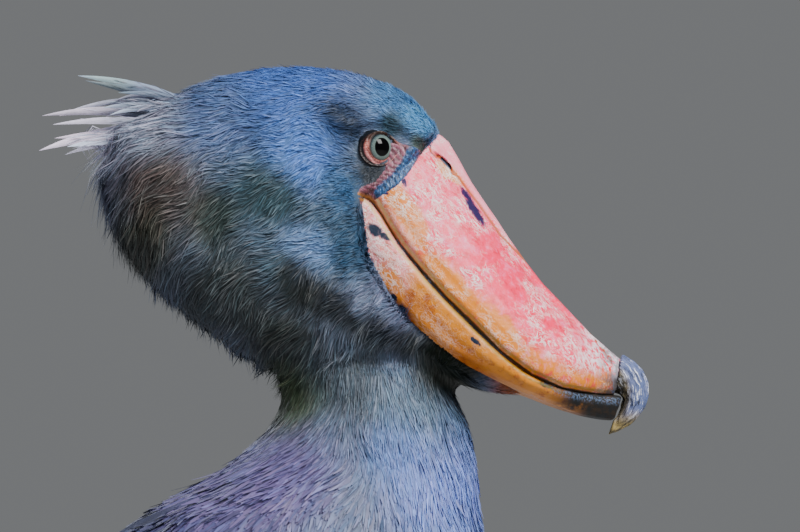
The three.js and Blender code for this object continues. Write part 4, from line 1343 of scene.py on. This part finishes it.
def cast(name, voxel, smooths, *nodes, core=None):
    """Copies of solids cast as one dense even surface, with a hidden core where one is given."""
    piece = joined_copy(name, *nodes)
    if core:
        joined([piece, core])
    apply_modifier(piece, "REMESH", mode="VOXEL", voxel_size=voxel)
    keep_largest(piece)
    apply_modifier(piece, "SMOOTH", factor=0.5, iterations=smooths)
    smooth_faces(piece)
    return piece


def keep_values(piece, name, values):
    """Stores three numbers on each point, for the paint to read."""
    layer = piece.data.attributes.new(name, "FLOAT_VECTOR", "POINT")
    layer.data.foreach_set("vector", np.ascontiguousarray(values).ravel())


BILL_WAY = np.array([0.66, 0.0, -0.75])
BILL_SIDE = np.array([0.75, 0.0, 0.66])
GRAIN = np.stack([BILL_SIDE, BILL_WAY * 0.12, np.array([0, 0.6, 0])], axis=1)
print("points along the mouth", len(MOUTH))

# %% Cast the upper half
HORN_VOXEL, NAIL_VOXEL = 0.00115, 0.0007
upper = cast("upper_bill_horn", HORN_VOXEL, 3, "upper_bill")
points = from_eyes(coordinates(upper.data))
outward = normals_of(upper.data)
flat = points[:, [0, 2]]
groove_gap, groove_along = line_distance(flat, GROOVE)
mouth_gap, mouth_along = line_distance(flat, MOUTH)
slit_gap, _ = line_distance(flat, NOSTRIL)
on_side = smooth_step(abs(outward[:, 1]), 0.15, 0.5)
fade = 1 - 0.6 * groove_along
press = -1.1 * np.exp(-((groove_gap / 1.5) ** 2)) * fade * on_side
press -= 2.2 * np.exp(-((slit_gap / 1.3) ** 2)) * on_side
press += 0.9 * np.exp(-(((mouth_gap - 5) / 3.2) ** 2)) * smooth_step(mouth_along, 0.06, 0.2)
press += 0.5 * np.exp(-((mouth_gap / 1.2) ** 2))
press += 0.22 * ripple(points, GRAIN, 2.4, 3)
move_points(upper.data, (points + outward * press[:, None]) * MM + ORIGIN)
groove_line = np.array(GROOVE)
over_groove = flat[:, 0] - np.interp(-flat[:, 1], -groove_line[:, 1], groove_line[:, 0])
signed = groove_gap * np.where(over_groove > 0, 1, -1)
keep_values(upper, "bill", np.stack([mouth_gap / 100, signed / 100, mouth_along], 1))
print("upper half", len(upper.data.vertices))

# %% Cast the lower half
lower = cast("lower_bill_horn", HORN_VOXEL, 3, "lower_bill")
points = from_eyes(coordinates(lower.data))
outward = normals_of(lower.data)
flat = points[:, [0, 2]]
mouth_gap, mouth_along = line_distance(flat, MOUTH)
press = 0.6 * np.exp(-((mouth_gap / 1.2) ** 2)) + 0.25 * ripple(points, GRAIN, 2.6, 4)
press += 0.5 * np.exp(-(((mouth_gap - 6) / 3) ** 2)) * smooth_step(mouth_along, 0.1, 0.3)
reach = smooth_step(points[:, 0], 126, 150)
moved = points + outward * press[:, None] + reach[:, None] * np.array([9.5, 0, -1.0])
move_points(lower.data, moved * MM + ORIGIN)
keep_values(lower, "bill", np.stack([mouth_gap / 100, mouth_gap * 0 - 1, mouth_along], 1))
print("lower half", len(lower.data.vertices))

# %% [markdown]
# The horn's colour comes in layers, as on the living bird: a salmon ground that turns orange towards
# the mouth, a blue smudge beside the groove, small dark spots at the gape, and over all of it the
# pale flakes and scratches where the surface layer has worn.


# %% Write the marks of horn
GRAIN_TURN = (0, math.radians(-48), 0)


def flakes(finish, scale, width, seed):
    """Thin curling scratches: the places where a bent noise crosses its own middle."""
    spot = finish.spot((1, 1, 1), GRAIN_TURN)
    move = finish.make("ShaderNodeVectorMath", {"operation": "MULTIPLY"}, {0: spot, 1: (0.5, 1, 1.0)})
    shift = finish.make("ShaderNodeVectorMath", {"operation": "ADD"}, {0: move.outputs[0], 1: (seed,) * 3})
    wave = finish.noise(shift.outputs[0], scale, 4, 0.62, 1.4)
    return wave.near(0.5, width)


def spots_at(finish, x, z, marks):
    """Soft spots given by middle x and z and their two reaches, all in millimetres."""
    total = None
    for mx, mz, along, across, turn in marks:
        c, s = math.cos(math.radians(turn)), math.sin(math.radians(turn))
        u = ((x - mx) * c + (z - mz) * s) / along
        w = ((z - mz) * c - (x - mx) * s) / across
        mark = 1 - (u ** 2.0 + w ** 2.0).step(0.3, 1.1)
        total = mark if total is None else total.sum("MAXIMUM", mark)
    return total


print("marks ready")


# %% Write the layers of horn
def horn(name, ground, near_mouth, pale, deep_tone, marks, mark_colour, orange, flake_share,
         tip_reach, frayed):
    """One half's horn, laid on layer by layer from its ground to the crust at its tip."""
    finish = Finish(name, Roughness=0.4, Specular_IOR_Level=0.3, Coat_Weight=0.08, Coat_Roughness=0.35)
    spot = finish.spot()
    x, _, z = finish.split(spot)
    mouth, groove, along = finish.split(finish.attribute("bill"))
    cloud = finish.noise(spot, 0.045, 4, 0.6)
    patchy = finish.noise(spot, 0.16, 4, 0.65)
    grainy = finish.noise(finish.spot((1, 1, 0.35), GRAIN_TURN), 0.4, 4, 0.7)
    blend = 1 - (mouth + (cloud - 0.5) * 0.12).step(0.08, 0.22)
    colour = finish.mix(blend, srgb(*ground), srgb(*near_mouth))
    by_gape = (1 - (along + (cloud - 0.5) * 0.5).step(0.16, 0.36)) * (0.55 + patchy * 0.5 - frayed * 0.6)
    colour = finish.mix(by_gape, colour, srgb(255, 150, 172))
    colour = finish.mix(patchy.step(0.5, 0.7) * 0.5, colour, srgb(*pale))
    colour = finish.mix((1 - patchy.step(0.34, 0.48)) * 0.7, colour, srgb(*deep_tone))
    colour = finish.mix(grainy.step(0.52, 0.7) * 0.35, colour, srgb(*pale))
    warm = spots_at(finish, x + (cloud - 0.5) * 16, z + (patchy - 0.5) * 12, orange)
    colour = finish.mix(warm * (0.5 + grainy * 0.7), colour, srgb(224, 132, 20))
    worn = (cloud.step(0.42, 0.6) * flake_share * (1 - blend * 0.55) + by_gape).sum("MINIMUM", 1.0)
    scratch = flakes(finish, 0.12, 0.03, 0).sum("MAXIMUM", flakes(finish, 0.26, 0.045, 40) * 0.8)
    colour = finish.mix(scratch * worn, colour, srgb(255, 252, 250))
    fleck = finish.noise(spot, 0.5, 4, 0.75).step(0.6, 0.7)
    colour = finish.mix(fleck * worn * 0.8, colour, srgb(255, 232, 226))
    dots = spots_at(finish, x + (grainy - 0.5) * 5, z + (patchy - 0.5) * 5, marks)
    colour = finish.mix((dots * (0.7 + grainy * 0.7)).sum("MINIMUM", 1.0), colour, srgb(*mark_colour))
    keel = groove.step(0.006, 0.02)
    colour = finish.mix(keel * 0.5, colour, srgb(244, 170, 190))
    far = along.step(0.62, 0.95)
    colour = finish.mix(keel * far * grainy.step(0.36, 0.54) * 0.9, colour, srgb(196, 202, 236))
    slit = spots_at(finish, x, z, [(40.5, -10, 10.5, 1.5, -44)])
    colour = finish.mix(slit * 0.9, colour, srgb(150, 34, 40))
    line = 1 - abs(groove).step(0.004, 0.011)
    colour = finish.mix(line * 0.85, colour, srgb(176, 84, 34))
    rim = 1 - abs(mouth - 0.027).step(0.004, 0.015)
    olive = finish.mix(along.step(0.2, 0.8), srgb(206, 186, 110), srgb(132, 112, 26))
    colour = finish.mix(rim * (0.35 + grainy * 0.5), colour, olive)
    dark = 1 - (mouth - (grainy - 0.5) * 0.008).step(0.008, 0.018)
    lip = finish.mix(along.step(0.12, 0.3), srgb(134, 80, 24), srgb(22, 30, 18))
    colour = finish.mix(dark * 0.96, colour, lip)
    tip = x.step(*tip_reach) * (1 - (mouth + (patchy - 0.5) * 0.16).step(0.08, 0.17))
    tip = tip.sum("MAXIMUM", x.step(112, 132) * (1 - frayed))
    soot = finish.mix(patchy.step(0.45, 0.6), srgb(6, 7, 8), srgb(34, 20, 4))
    colour = finish.mix(tip, colour, soot)
    crust = finish.noise(spot, 0.8, 4, 0.7).step(0.46, 0.58) * mouth.step(0.008, 0.02)
    scab = x.step(tip_reach[0] - 8, tip_reach[1]) * crust * (1 - mouth.step(0.03, 0.07))
    colour = finish.mix(scab * 0.7, colour, srgb(84, 108, 144))
    fray = x.step(118, 138) * mouth.step(0.08, 0.2) * grainy.step(0.44, 0.54)
    colour = finish.mix(fray * frayed, colour, srgb(246, 240, 250))
    by_nail = x.step(134, 143) * (patchy + grainy).step(0.85, 1.1) * frayed
    colour = finish.mix(by_nail * 0.8, colour, srgb(70, 64, 62))
    height = finish.noise(spot, 0.35, 5, 0.65) + scratch * worn * 0.6
    return finish.paint(colour, 0.32 + worn * 0.25 + patchy * 0.12 + tip * 0.25, height, 0.45, 0.0009)


print("horn ready")

# %% Paint the bill
# Each mark has its middle x and z, its two reaches and its turn in degrees.
UPPER_MARKS = [(60, -42, 13, 3.0, -58), (55, -32, 8, 2.2, -56), (15, -24, 4, 1.4, -70)]
UPPER_MARKS += [(3, -31, 3, 1.2, -40)]
LOWER_MARKS = [(-3, -55, 6, 4.2, -35), (3, -59, 5, 2.5, -30), (14, -104, 3.5, 2.4, -50)]
LOWER_MARKS += [(9, -97, 3, 1.4, -50), (60, -125, 5, 1.6, -40), (104, -152, 6, 1.6, -20)]
UPPER_ORANGE = [(17, -44, 30, 9, -60), (44, -17, 13, 5, -44), (44, -88, 26, 8, -48)]
UPPER_ORANGE += [(74, -116, 24, 8, -42)]
LOWER_ORANGE = [(8, -90, 16, 6, -60), (34, -118, 26, 7, -44)]
upper_finish = horn("horn_upper", (255, 44, 92), (222, 128, 8), (255, 142, 186), (222, 14, 60), UPPER_MARKS,
                    (40, 20, 76), UPPER_ORANGE, 1.0, (138, 150), 0.9)
lower_finish = horn("horn_lower", (178, 86, 4), (204, 124, 12), (216, 136, 40), (146, 60, 4), LOWER_MARKS,
                    (14, 32, 56), LOWER_ORANGE, 0.3, (100, 122), 0.0)
finished(upper, upper_finish, "bill_horn", "upper_bill")
finished(lower, lower_finish, "jaw_horn", "lower_bill")
print("bill painted")

# %% [markdown]
# The nail is the hooked tip. Its horn grows in long layers, so it gets ridges along its length and
# pale and dark strands painted round the curve of the hook.

# %% Cast and paint the nail
nail = cast("nail_horn", NAIL_VOXEL, 3, "bill_nail")
points = from_eyes(coordinates(nail.data))
outward = normals_of(nail.data)
turn = np.arctan2(points[:, 2] + 152, points[:, 0] - 138)
ridge = np.sin(points[:, 1] * 1.9 + 3.0 * np.sin(turn * 2)) + 0.6 * np.sin(points[:, 1] * 4.3 + turn * 9)
press = 0.32 * ridge * smooth_step(points[:, 0], 140, 150) + 0.3 * ripple(points, np.eye(3), 1.6, 8)
hook = smooth_step(-points[:, 2], 160, 181)
moved = points + outward * press[:, None] + hook[:, None] * np.array([-3.5, 0, -3.6])
move_points(nail.data, moved * MM + ORIGIN)
keep_values(nail, "bill", np.stack([ridge, turn, turn * 0], 1))
nail_finish = Finish("horn_nail", Roughness=0.5)
turn = nail_finish.split(nail_finish.attribute("bill"))[1]
spot = nail_finish.spot()
cloud = nail_finish.noise(spot, 0.16, 4, 0.65)
x, y, z = nail_finish.split(spot)
curve = ((x - 136) ** 2.0 + (z + 156) ** 2.0) ** 0.5
arc = nail_finish.gather(curve * 0.8 + cloud * 3, turn * 1.6, y * 0.5)
fine = nail_finish.noise(arc, 1.0, 4, 0.65)
colour = nail_finish.mix(cloud.step(0.35, 0.65), srgb(74, 64, 34), srgb(156, 136, 84))
above_hook = z.step(-176, -164)
front = (curve + (cloud - 0.5) * 10).step(18, 25) * above_hook
rear = (1 - (curve + (cloud - 0.5) * 10).step(16, 23)) * above_hook
colour = nail_finish.mix(front * 0.9, colour, srgb(88, 106, 158))
colour = nail_finish.mix(rear * 0.85, colour, srgb(34, 30, 28))
colour = nail_finish.mix((1 - fine.step(0.36, 0.45)) * 0.8, colour, srgb(26, 28, 36))
colour = nail_finish.mix(fine.step(0.54, 0.62) * (front + rear * 0.45) * 0.9, colour, srgb(236, 240, 255))
finished(nail, nail_finish.paint(colour, 0.4 + cloud * 0.3, fine, 0.7, 0.0016), "nail_horn", "bill_nail")
print("nail", len(nail.data.vertices))

# %% [markdown]
# ## The eye
# The ball is a sphere with its pole on the line of sight, so its rings of points are the rings of the
# iris. It looks ahead and a little down, so from the side the iris is an upright oval. The lids are a
# folded ring of bare skin, laid from the edge of the opening out to the feathers.

# %% Form eyes
GAZE_AHEAD, GAZE_DOWN = math.radians(35), math.radians(4)
BALL, IRIS, PUPIL = 12.6, 8.9, 5.7
EYE_AT = (-4.6, 34.6, -2.7)


def gaze_frame(sign):
    """The line of sight, and two directions square to it: ahead and up."""
    level = math.cos(GAZE_DOWN)
    aside = sign * math.cos(GAZE_AHEAD) * level
    sight = np.array([math.sin(GAZE_AHEAD) * level, aside, -math.sin(GAZE_DOWN)])
    up = unit((np.array([0, 0, 1.0]) - sight * sight[2])[None])[0]
    ahead = np.cross(up, sight) * sign
    return sight, ahead, up


eye_finish = Finish("eye", Roughness=0.06, Specular_IOR_Level=0.05, Coat_Weight=0.15,
                    Coat_Roughness=0.02)
ring, turn, hole = eye_finish.split(eye_finish.attribute("iris"))
fibres = eye_finish.gather(ring * 0.5, turn.sum("SINE") * 4, turn.sum("COSINE") * 4)
thread = eye_finish.noise(fibres, 2.6, 4, 0.7)
colour = eye_finish.mix(ring.step(PUPIL, IRIS), srgb(98, 114, 110), srgb(62, 78, 84))
colour = eye_finish.mix(thread.step(0.45, 0.7) * 0.5, colour, srgb(132, 148, 142))
colour = eye_finish.mix(ring.step(IRIS - 1.3, IRIS), colour, srgb(24, 28, 34))
colour = eye_finish.mix(1 - hole.step(PUPIL - 0.1, PUPIL + 0.4), colour, srgb(3, 3, 4))
eye_material = eye_finish.paint(colour)
print("iris painted")

# %% Write how far out the surfaces lie
upper.data.calc_loop_triangles()
horn_faces = [tuple(triangle.vertices) for triangle in upper.data.loop_triangles]
horn_tree = BVHTree.FromPolygons([tuple(vertex.co) for vertex in upper.data.vertices], horn_faces)


def side_surface(x, z, sign, trees=(skin_tree,)):
    """How far out the surfaces lie at (x, z) in the side view, in millimetres."""
    depths = np.full(x.size, np.nan)
    for i, (a, b) in enumerate(zip(x.ravel(), z.ravel())):
        for tree in trees:
            hit = tree.ray_cast(place(a, sign * 120, b), Vector((0, -sign, 0)))[0]
            if hit is not None:
                depths[i] = np.fmax(depths[i], abs(hit[1]) / MM)
    return depths.reshape(x.shape)


print("horn faces", len(horn_faces))

# %% Place the eyeballs
for side, sign in SIDES:
    sight, ahead, up = gaze_frame(sign)
    middle = np.array([EYE_AT[0], sign * EYE_AT[1], EYE_AT[2]])
    angles = np.radians(np.concatenate((np.linspace(0.5, 48, 44), np.linspace(52, 179, 16))))[:, None]
    spin = np.linspace(0, 2 * math.pi, 72, endpoint=False)[None, :]
    radius = BALL + 0.8 * np.exp(-((angles / 0.55) ** 2))
    around = ahead * np.cos(spin)[..., None] + up * np.sin(spin)[..., None]
    facing = sight * np.cos(angles)[..., None] + around * np.sin(angles)[..., None]
    ball = loft(f"eyeball_{side}", middle + radius[..., None] * facing)
    off = from_eyes(coordinates(ball.data)) - middle
    flat = off - (off @ sight)[:, None] * sight
    gap = np.where(off @ sight > 0, np.linalg.norm(flat, axis=1), 20.0)
    # The pupil is an upright oval, set back a little as the clear front of the eye shows it.
    hole = np.hypot((flat @ ahead - 1.0) / 0.88, flat @ up - 0.6)
    hole = np.where(off @ sight > 0, hole, 20.0)
    keep_values(ball, "iris", np.stack([gap, np.arctan2(flat @ up, flat @ ahead), hole], 1))
    smooth_faces(ball)
    finished(ball, eye_material, "eye", f"eye_{side}")
print("eyes in place")

# %% [markdown]
# The lids swell round the ball in fine folds. They are widest behind and below the eye, and reach
# forward in a point towards the bill. Dark rims close them off inside and out, and their upper half
# is painted dark with the brow's shade.

# %% Paint the lids
lid_finish = Finish("lids", Roughness=0.45)
share, turn, _ = lid_finish.split(lid_finish.attribute("ring"))
spot = lid_finish.spot()
mottle = lid_finish.noise(spot, 0.35, 4, 0.6)
colour = lid_finish.mix(mottle.step(0.35, 0.65), srgb(126, 52, 42), srgb(196, 106, 92))
below = (1 - turn.sum("SINE").step(-0.7, 0.2)) * share.step(0.15, 0.4)
colour = lid_finish.mix(below * 0.6, colour, srgb(206, 130, 136))
grain = lid_finish.noise(spot, 1.3, 3, 0.7)
colour = lid_finish.mix(grain.step(0.52, 0.62) * 0.6, colour, srgb(226, 176, 170))
colour = lid_finish.mix((1 - grain.step(0.36, 0.46)) * 0.6, colour, srgb(84, 34, 30))
# Painted shade from the brow darkens the lids' upper half.
colour = lid_finish.mix(turn.sum("SINE").step(0.0, 0.7) * 0.92, colour, srgb(22, 18, 8))
colour = lid_finish.mix((1 - share.step(0.05, 0.2)) * 0.95, colour, srgb(20, 14, 14))
lower_back = (turn - 3.9).sum("COSINE").step(0.0, 0.45)
colour = lid_finish.mix(share.step(0.5, 0.62) * lower_back * 0.97, colour, srgb(8, 9, 10))
lid_height = lid_finish.noise(spot, 0.8, 4, 0.6)
lid_material = lid_finish.paint(colour, 0.42 + mottle * 0.1, lid_height, 0.5, 0.0006)
print("lids painted")

# %% Lay the lids
LID_ROWS, LID_TURNS = 26, 144
LID_THICKNESS = 0.001
for side, sign in SIDES:
    share = np.linspace(0, 1, LID_ROWS)[:, None]
    spin = np.linspace(0, 2 * math.pi, LID_TURNS, endpoint=False)[None, :]
    point = np.exp(-((np.angle(np.exp(1j * (spin - 0.02))) / 0.33) ** 2))
    inner_x, inner_z = 0.8 + 6.6 * np.cos(spin), 8.4 * np.sin(spin) - 2.4
    outer_x = -1.6 + (12.2 + 5.0 * point) * np.cos(spin)
    outer_z = -4.0 + (11.4 - 0.8 * (np.sin(spin) > 0)) * np.sin(spin)
    x = inner_x + (outer_x - inner_x) * share
    z = inner_z + (outer_z - inner_z) * share
    off_x, off_z = x - EYE_AT[0], z - EYE_AT[2]
    on_ball = EYE_AT[1] + np.sqrt(np.maximum((BALL + 0.5) ** 2 - off_x**2 - off_z**2, 0))
    on_skin = side_surface(x, z, sign)
    ease = smooth_step(share, 0.35, 1.0)
    fold = np.sin(share * 14 + 1.7 * np.sin(spin * 2 + 1) + 0.7 * np.sin(spin * 5))
    fold = 0.3 * fold * smooth_step(share, 0.05, 0.25)
    pucker = 0.15 * np.sin(spin * 41 + share * 5) + 0.12 * np.sin(spin * 23 + 2)
    pucker = pucker * smooth_step(share, 0.1, 0.4)
    y = on_ball * (1 - ease) + (on_skin + 1.7) * ease
    y = np.maximum(y, np.minimum(on_ball, on_skin + 9)) * (1 - ease) + y * ease
    y = y + 0.9 * np.sin(math.pi * share) ** 0.8 + fold + pucker
    y = y - (2.8 - 0.5 * point) * smooth_step(share, 0.86 - 0.26 * point, 1.0)
    grid = np.stack([x, sign * y, z], -1)
    lid = mesh_of(f"lids_{side}", grid.reshape(-1, 3) * MM + ORIGIN, grid_faces(LID_ROWS, LID_TURNS, True))
    values = np.stack([share + 0 * spin, spin + 0 * share, 0 * share * spin], -1).reshape(-1, 3)
    keep_values(lid, "ring", values)
    edit_all(lid, bpy.ops.mesh.normals_make_consistent, inside=False)
    apply_modifier(lid, "SOLIDIFY", thickness=LID_THICKNESS, offset=-1)
    smooth_faces(lid)
    finished(lid, lid_material, "head_feathers")
print("lids laid")

# %% [markdown]
# Between the eye and the bill the face is bare: pink wrinkled skin, a scaly blue-grey band along the
# horn and a puckered corner where the mouth begins. It is a fine net of points let down from the side
# onto the skin, with the wrinkles in its shape and painted shade in their troughs.

# %% Paint the bare face
BAND = [(20.6, -5.6), (17.2, -12.8), (12.8, -19.4), (7.0, -25.6), (0.4, -31.2)]
CORNER = [(-16, -33.4), (-7, -35.2), (-2.6, -40), (3, -50)]
face_finish = Finish("bare_face", Roughness=0.5)
band, corner, crease = face_finish.split(face_finish.attribute("face"))
spot = face_finish.spot()
mottle = face_finish.noise(spot, 0.3, 4, 0.65)
colour = face_finish.mix(mottle.step(0.35, 0.65), srgb(72, 30, 42), srgb(146, 82, 102))
# Painted shade darkens the troughs of the wrinkles.
colour = face_finish.mix(crease.step(-0.1, -0.9) * 0.7, colour, srgb(58, 26, 34))
along_band = face_finish.spot((1, 1, 0.3), (0, math.radians(40), 0))
scaly = face_finish.noise(along_band, 1.1, 4, 0.75)
colour = face_finish.mix(scaly.step(0.54, 0.62) * 0.5, colour, srgb(206, 166, 186))
blue = face_finish.mix(scaly.step(0.38, 0.6), srgb(2, 18, 34), srgb(24, 90, 148))
blue = face_finish.mix(scaly.step(0.58, 0.66) * 0.8, blue, srgb(176, 212, 244))
colour = face_finish.mix((1 - (band + (mottle - 0.5) * 2.4).step(3.0, 4.8)) * 0.95, colour, blue)
gape = face_finish.mix(mottle, srgb(120, 70, 20), srgb(196, 136, 52))
colour = face_finish.mix((1 - corner.step(1.0, 3.4)) * 0.9, colour, gape)
face_material = face_finish.paint(colour, 0.4 + mottle * 0.2, scaly, 0.5, 0.0006)
print("face painted")

# %% Lay the bare face
NET_STEP = 0.55
FACE_THICKNESS = 0.0008
for side, sign in SIDES:
    xs = np.arange(-18, 36, NET_STEP)
    zs = np.arange(-42, 13, NET_STEP)
    x, z = np.meshgrid(xs, zs, indexing="ij")
    flat = np.stack([x.ravel(), z.ravel()], 1)
    band_gap, band_along = line_distance(flat, BAND)
    corner_gap, _ = line_distance(flat, CORNER)
    crease = np.sin(flat[:, 0] * 1.1 + flat[:, 1] * 1.5 + 1.8 * np.sin(flat[:, 0] * 0.3 - flat[:, 1] * 0.4))
    rays = np.sin(np.arctan2(flat[:, 1] + 35.5, flat[:, 0] + 9) * 15)
    near_corner = np.exp(-((np.hypot(flat[:, 0] + 8, flat[:, 1] + 35) / 7) ** 2))
    plates = np.sin(band_along * 62 + band_gap * 0.8) * np.sin(band_gap * 1.6 + band_along * 9)
    relief = 0.22 * crease * (1 - near_corner) + 0.7 * rays * near_corner
    relief += (0.2 + 0.2 * plates) * np.exp(-((band_gap / 4.0) ** 4))
    relief -= 0.9 * np.exp(-((corner_gap / 0.9) ** 2))
    relief += 0.8 * np.exp(-(((corner_gap - 2.0) / 1.0) ** 2)) * near_corner
    rim_gap, _ = line_distance(flat, LORES + LORES[:1])
    within = inside(flat, LORES)
    ease = smooth_step(np.where(within, rim_gap, 0), 0, 2.4)
    y = side_surface(x, z, sign, (skin_tree, horn_tree)).ravel() + (0.8 + relief) * ease - 0.35
    good = ~np.isnan(y) & (within | (rim_gap < 0.8))
    quads = grid_faces(len(xs), len(zs), False)
    quads = quads[good[quads].all(axis=1)]
    used = np.unique(quads)
    renumber = np.full(len(flat), -1)
    renumber[used] = np.arange(len(used))
    grid = np.stack([flat[:, 0], sign * y, flat[:, 1]], 1)[used]
    face = mesh_of(f"bare_face_{side}", grid * MM + ORIGIN, renumber[quads])
    keep_values(face, "face", np.stack([band_gap, corner_gap, crease], 1)[used])
    apply_modifier(face, "SMOOTH", factor=0.5, iterations=2)
    apply_modifier(face, "SOLIDIFY", thickness=FACE_THICKNESS, offset=-sign)
    smooth_faces(face)
    finished(face, face_material, "head_feathers")
    print(face.name, len(face.data.polygons))

# %% [markdown]
# ## Legs and feet
# The bare parts are cast like the bill. Small net-like scales cover them: seeds are strewn over the
# skin, every point finds its two nearest seeds, and the line where they are equally near sinks in.

# %% Write the scale pattern
def tree_of(points):
    """A search tree that finds the points nearest to a place."""
    tree = KDTree(len(points))
    for order, point in enumerate(points):
        tree.insert(point, order)
    tree.balance()
    return tree


def net_of_scales(points, size):
    """How near each point is to the border of its scale, and which scale it is on."""
    order = draw.permutation(len(points))
    seeds = order[spaced(points[order], np.full(len(points), size))]
    tree = tree_of(points[seeds])
    border = np.empty(len(points))
    owner = np.empty(len(points))
    for i, point in enumerate(points):
        found = tree.find_n(point, 2)
        border[i] = found[1][2] - found[0][2]
        owner[i] = found[0][1]
    return border, (owner * 0.618) % 1


print("pattern ready")

# %% Paint legs and claws
leg_finish = Finish("leg_skin", Roughness=0.55)
border, owner, _ = leg_finish.split(leg_finish.attribute("scales"))
spot = leg_finish.spot()
dust = leg_finish.noise(spot, 0.12, 4, 0.6)
colour = leg_finish.mix(owner, srgb(88, 90, 90), srgb(116, 116, 112))
colour = leg_finish.mix(dust.step(0.45, 0.7) * 0.4, colour, srgb(132, 126, 114))
colour = leg_finish.mix(border.step(1.1, 0.2) * 0.75, colour, srgb(52, 52, 52))
leg_material = leg_finish.paint(colour, 0.5 + dust * 0.2, leg_finish.noise(spot, 1.2, 4), 0.35, 0.0005)

claw_finish = Finish("claw_horn", Roughness=0.35)
streak = claw_finish.noise(claw_finish.spot((0.15, 1, 1)), 0.7, 4, 0.6)
colour = claw_finish.mix(streak.step(0.35, 0.7), srgb(44, 42, 38), srgb(92, 86, 74))
claw_material = claw_finish.paint(colour, 0.3 + streak * 0.2, streak, 0.3, 0.0004)
print("legs painted")

# %% Cast legs, feet and claws
LEG_VOXEL, CLAW_VOXEL = 0.00155, 0.0008
LEG_LEAN = 0.19
SCALE_SIZE = 4.6
TOES = ("inner_toe", "middle_toe", "outer_toe", "hind_toe")
for side, sign in SIDES:
    nodes = [f"{part}_{side}" for part in ("shank", "tarsus") + TOES]
    # A hidden core carries the bare leg on, up into the thigh.
    shank = from_eyes(coordinates(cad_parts[f"shank_{side}"].data))
    top = shank[shank[:, 2] > shank[:, 2].max() - 14].mean(axis=0)
    rise = np.linspace(-8, 32, 6)[:, None]
    around = np.linspace(0, 2 * math.pi, 20, endpoint=False)[None, :]
    core_x, core_y = LEG_LEAN * rise + 9 * np.cos(around), 0 * rise + 8 * np.sin(around)
    rings = top + np.stack([core_x, core_y, rise + 0 * around], -1)
    leg = cast(f"leg_{side}", LEG_VOXEL, 3, *nodes, core=loft(f"leg_core_{side}", rings))
    claws = joined_copy(f"claws_{side}", *(f"{toe}_claw_{side}" for toe in TOES))
    claw_tree = tree_of(from_eyes(coordinates(claws.data)))
    points = from_eyes(coordinates(leg.data))
    outward = normals_of(leg.data)
    border, owner = net_of_scales(points, SCALE_SIZE)
    level = points[:, 2] + ORIGIN[2] / MM
    press = (0.5 * smooth_step(border, 0, 1.6) - 0.3) * smooth_step(level, 1.0, 4.0)
    by_claw = np.array([claw_tree.find(point)[2] for point in points])
    press += 1.9 * np.exp(-((by_claw / 5) ** 2))
    moved = points + outward * press[:, None]
    moved[:, 2] = np.maximum(moved[:, 2], -ORIGIN[2] / MM)
    move_points(leg.data, moved * MM + ORIGIN)
    keep_values(leg, "scales", np.stack([border, owner, level], 1))
    finished(leg, leg_material, "leg_skin", *nodes)
    apply_modifier(claws, "REMESH", mode="VOXEL", voxel_size=CLAW_VOXEL)
    apply_modifier(claws, "SMOOTH", factor=0.5, iterations=4)
    smooth_faces(claws)
    finished(claws, claw_material, "claw_horn", *(f"{toe}_claw_{side}" for toe in TOES))
    print(leg.name, len(leg.data.polygons), claws.name, len(claws.data.polygons))
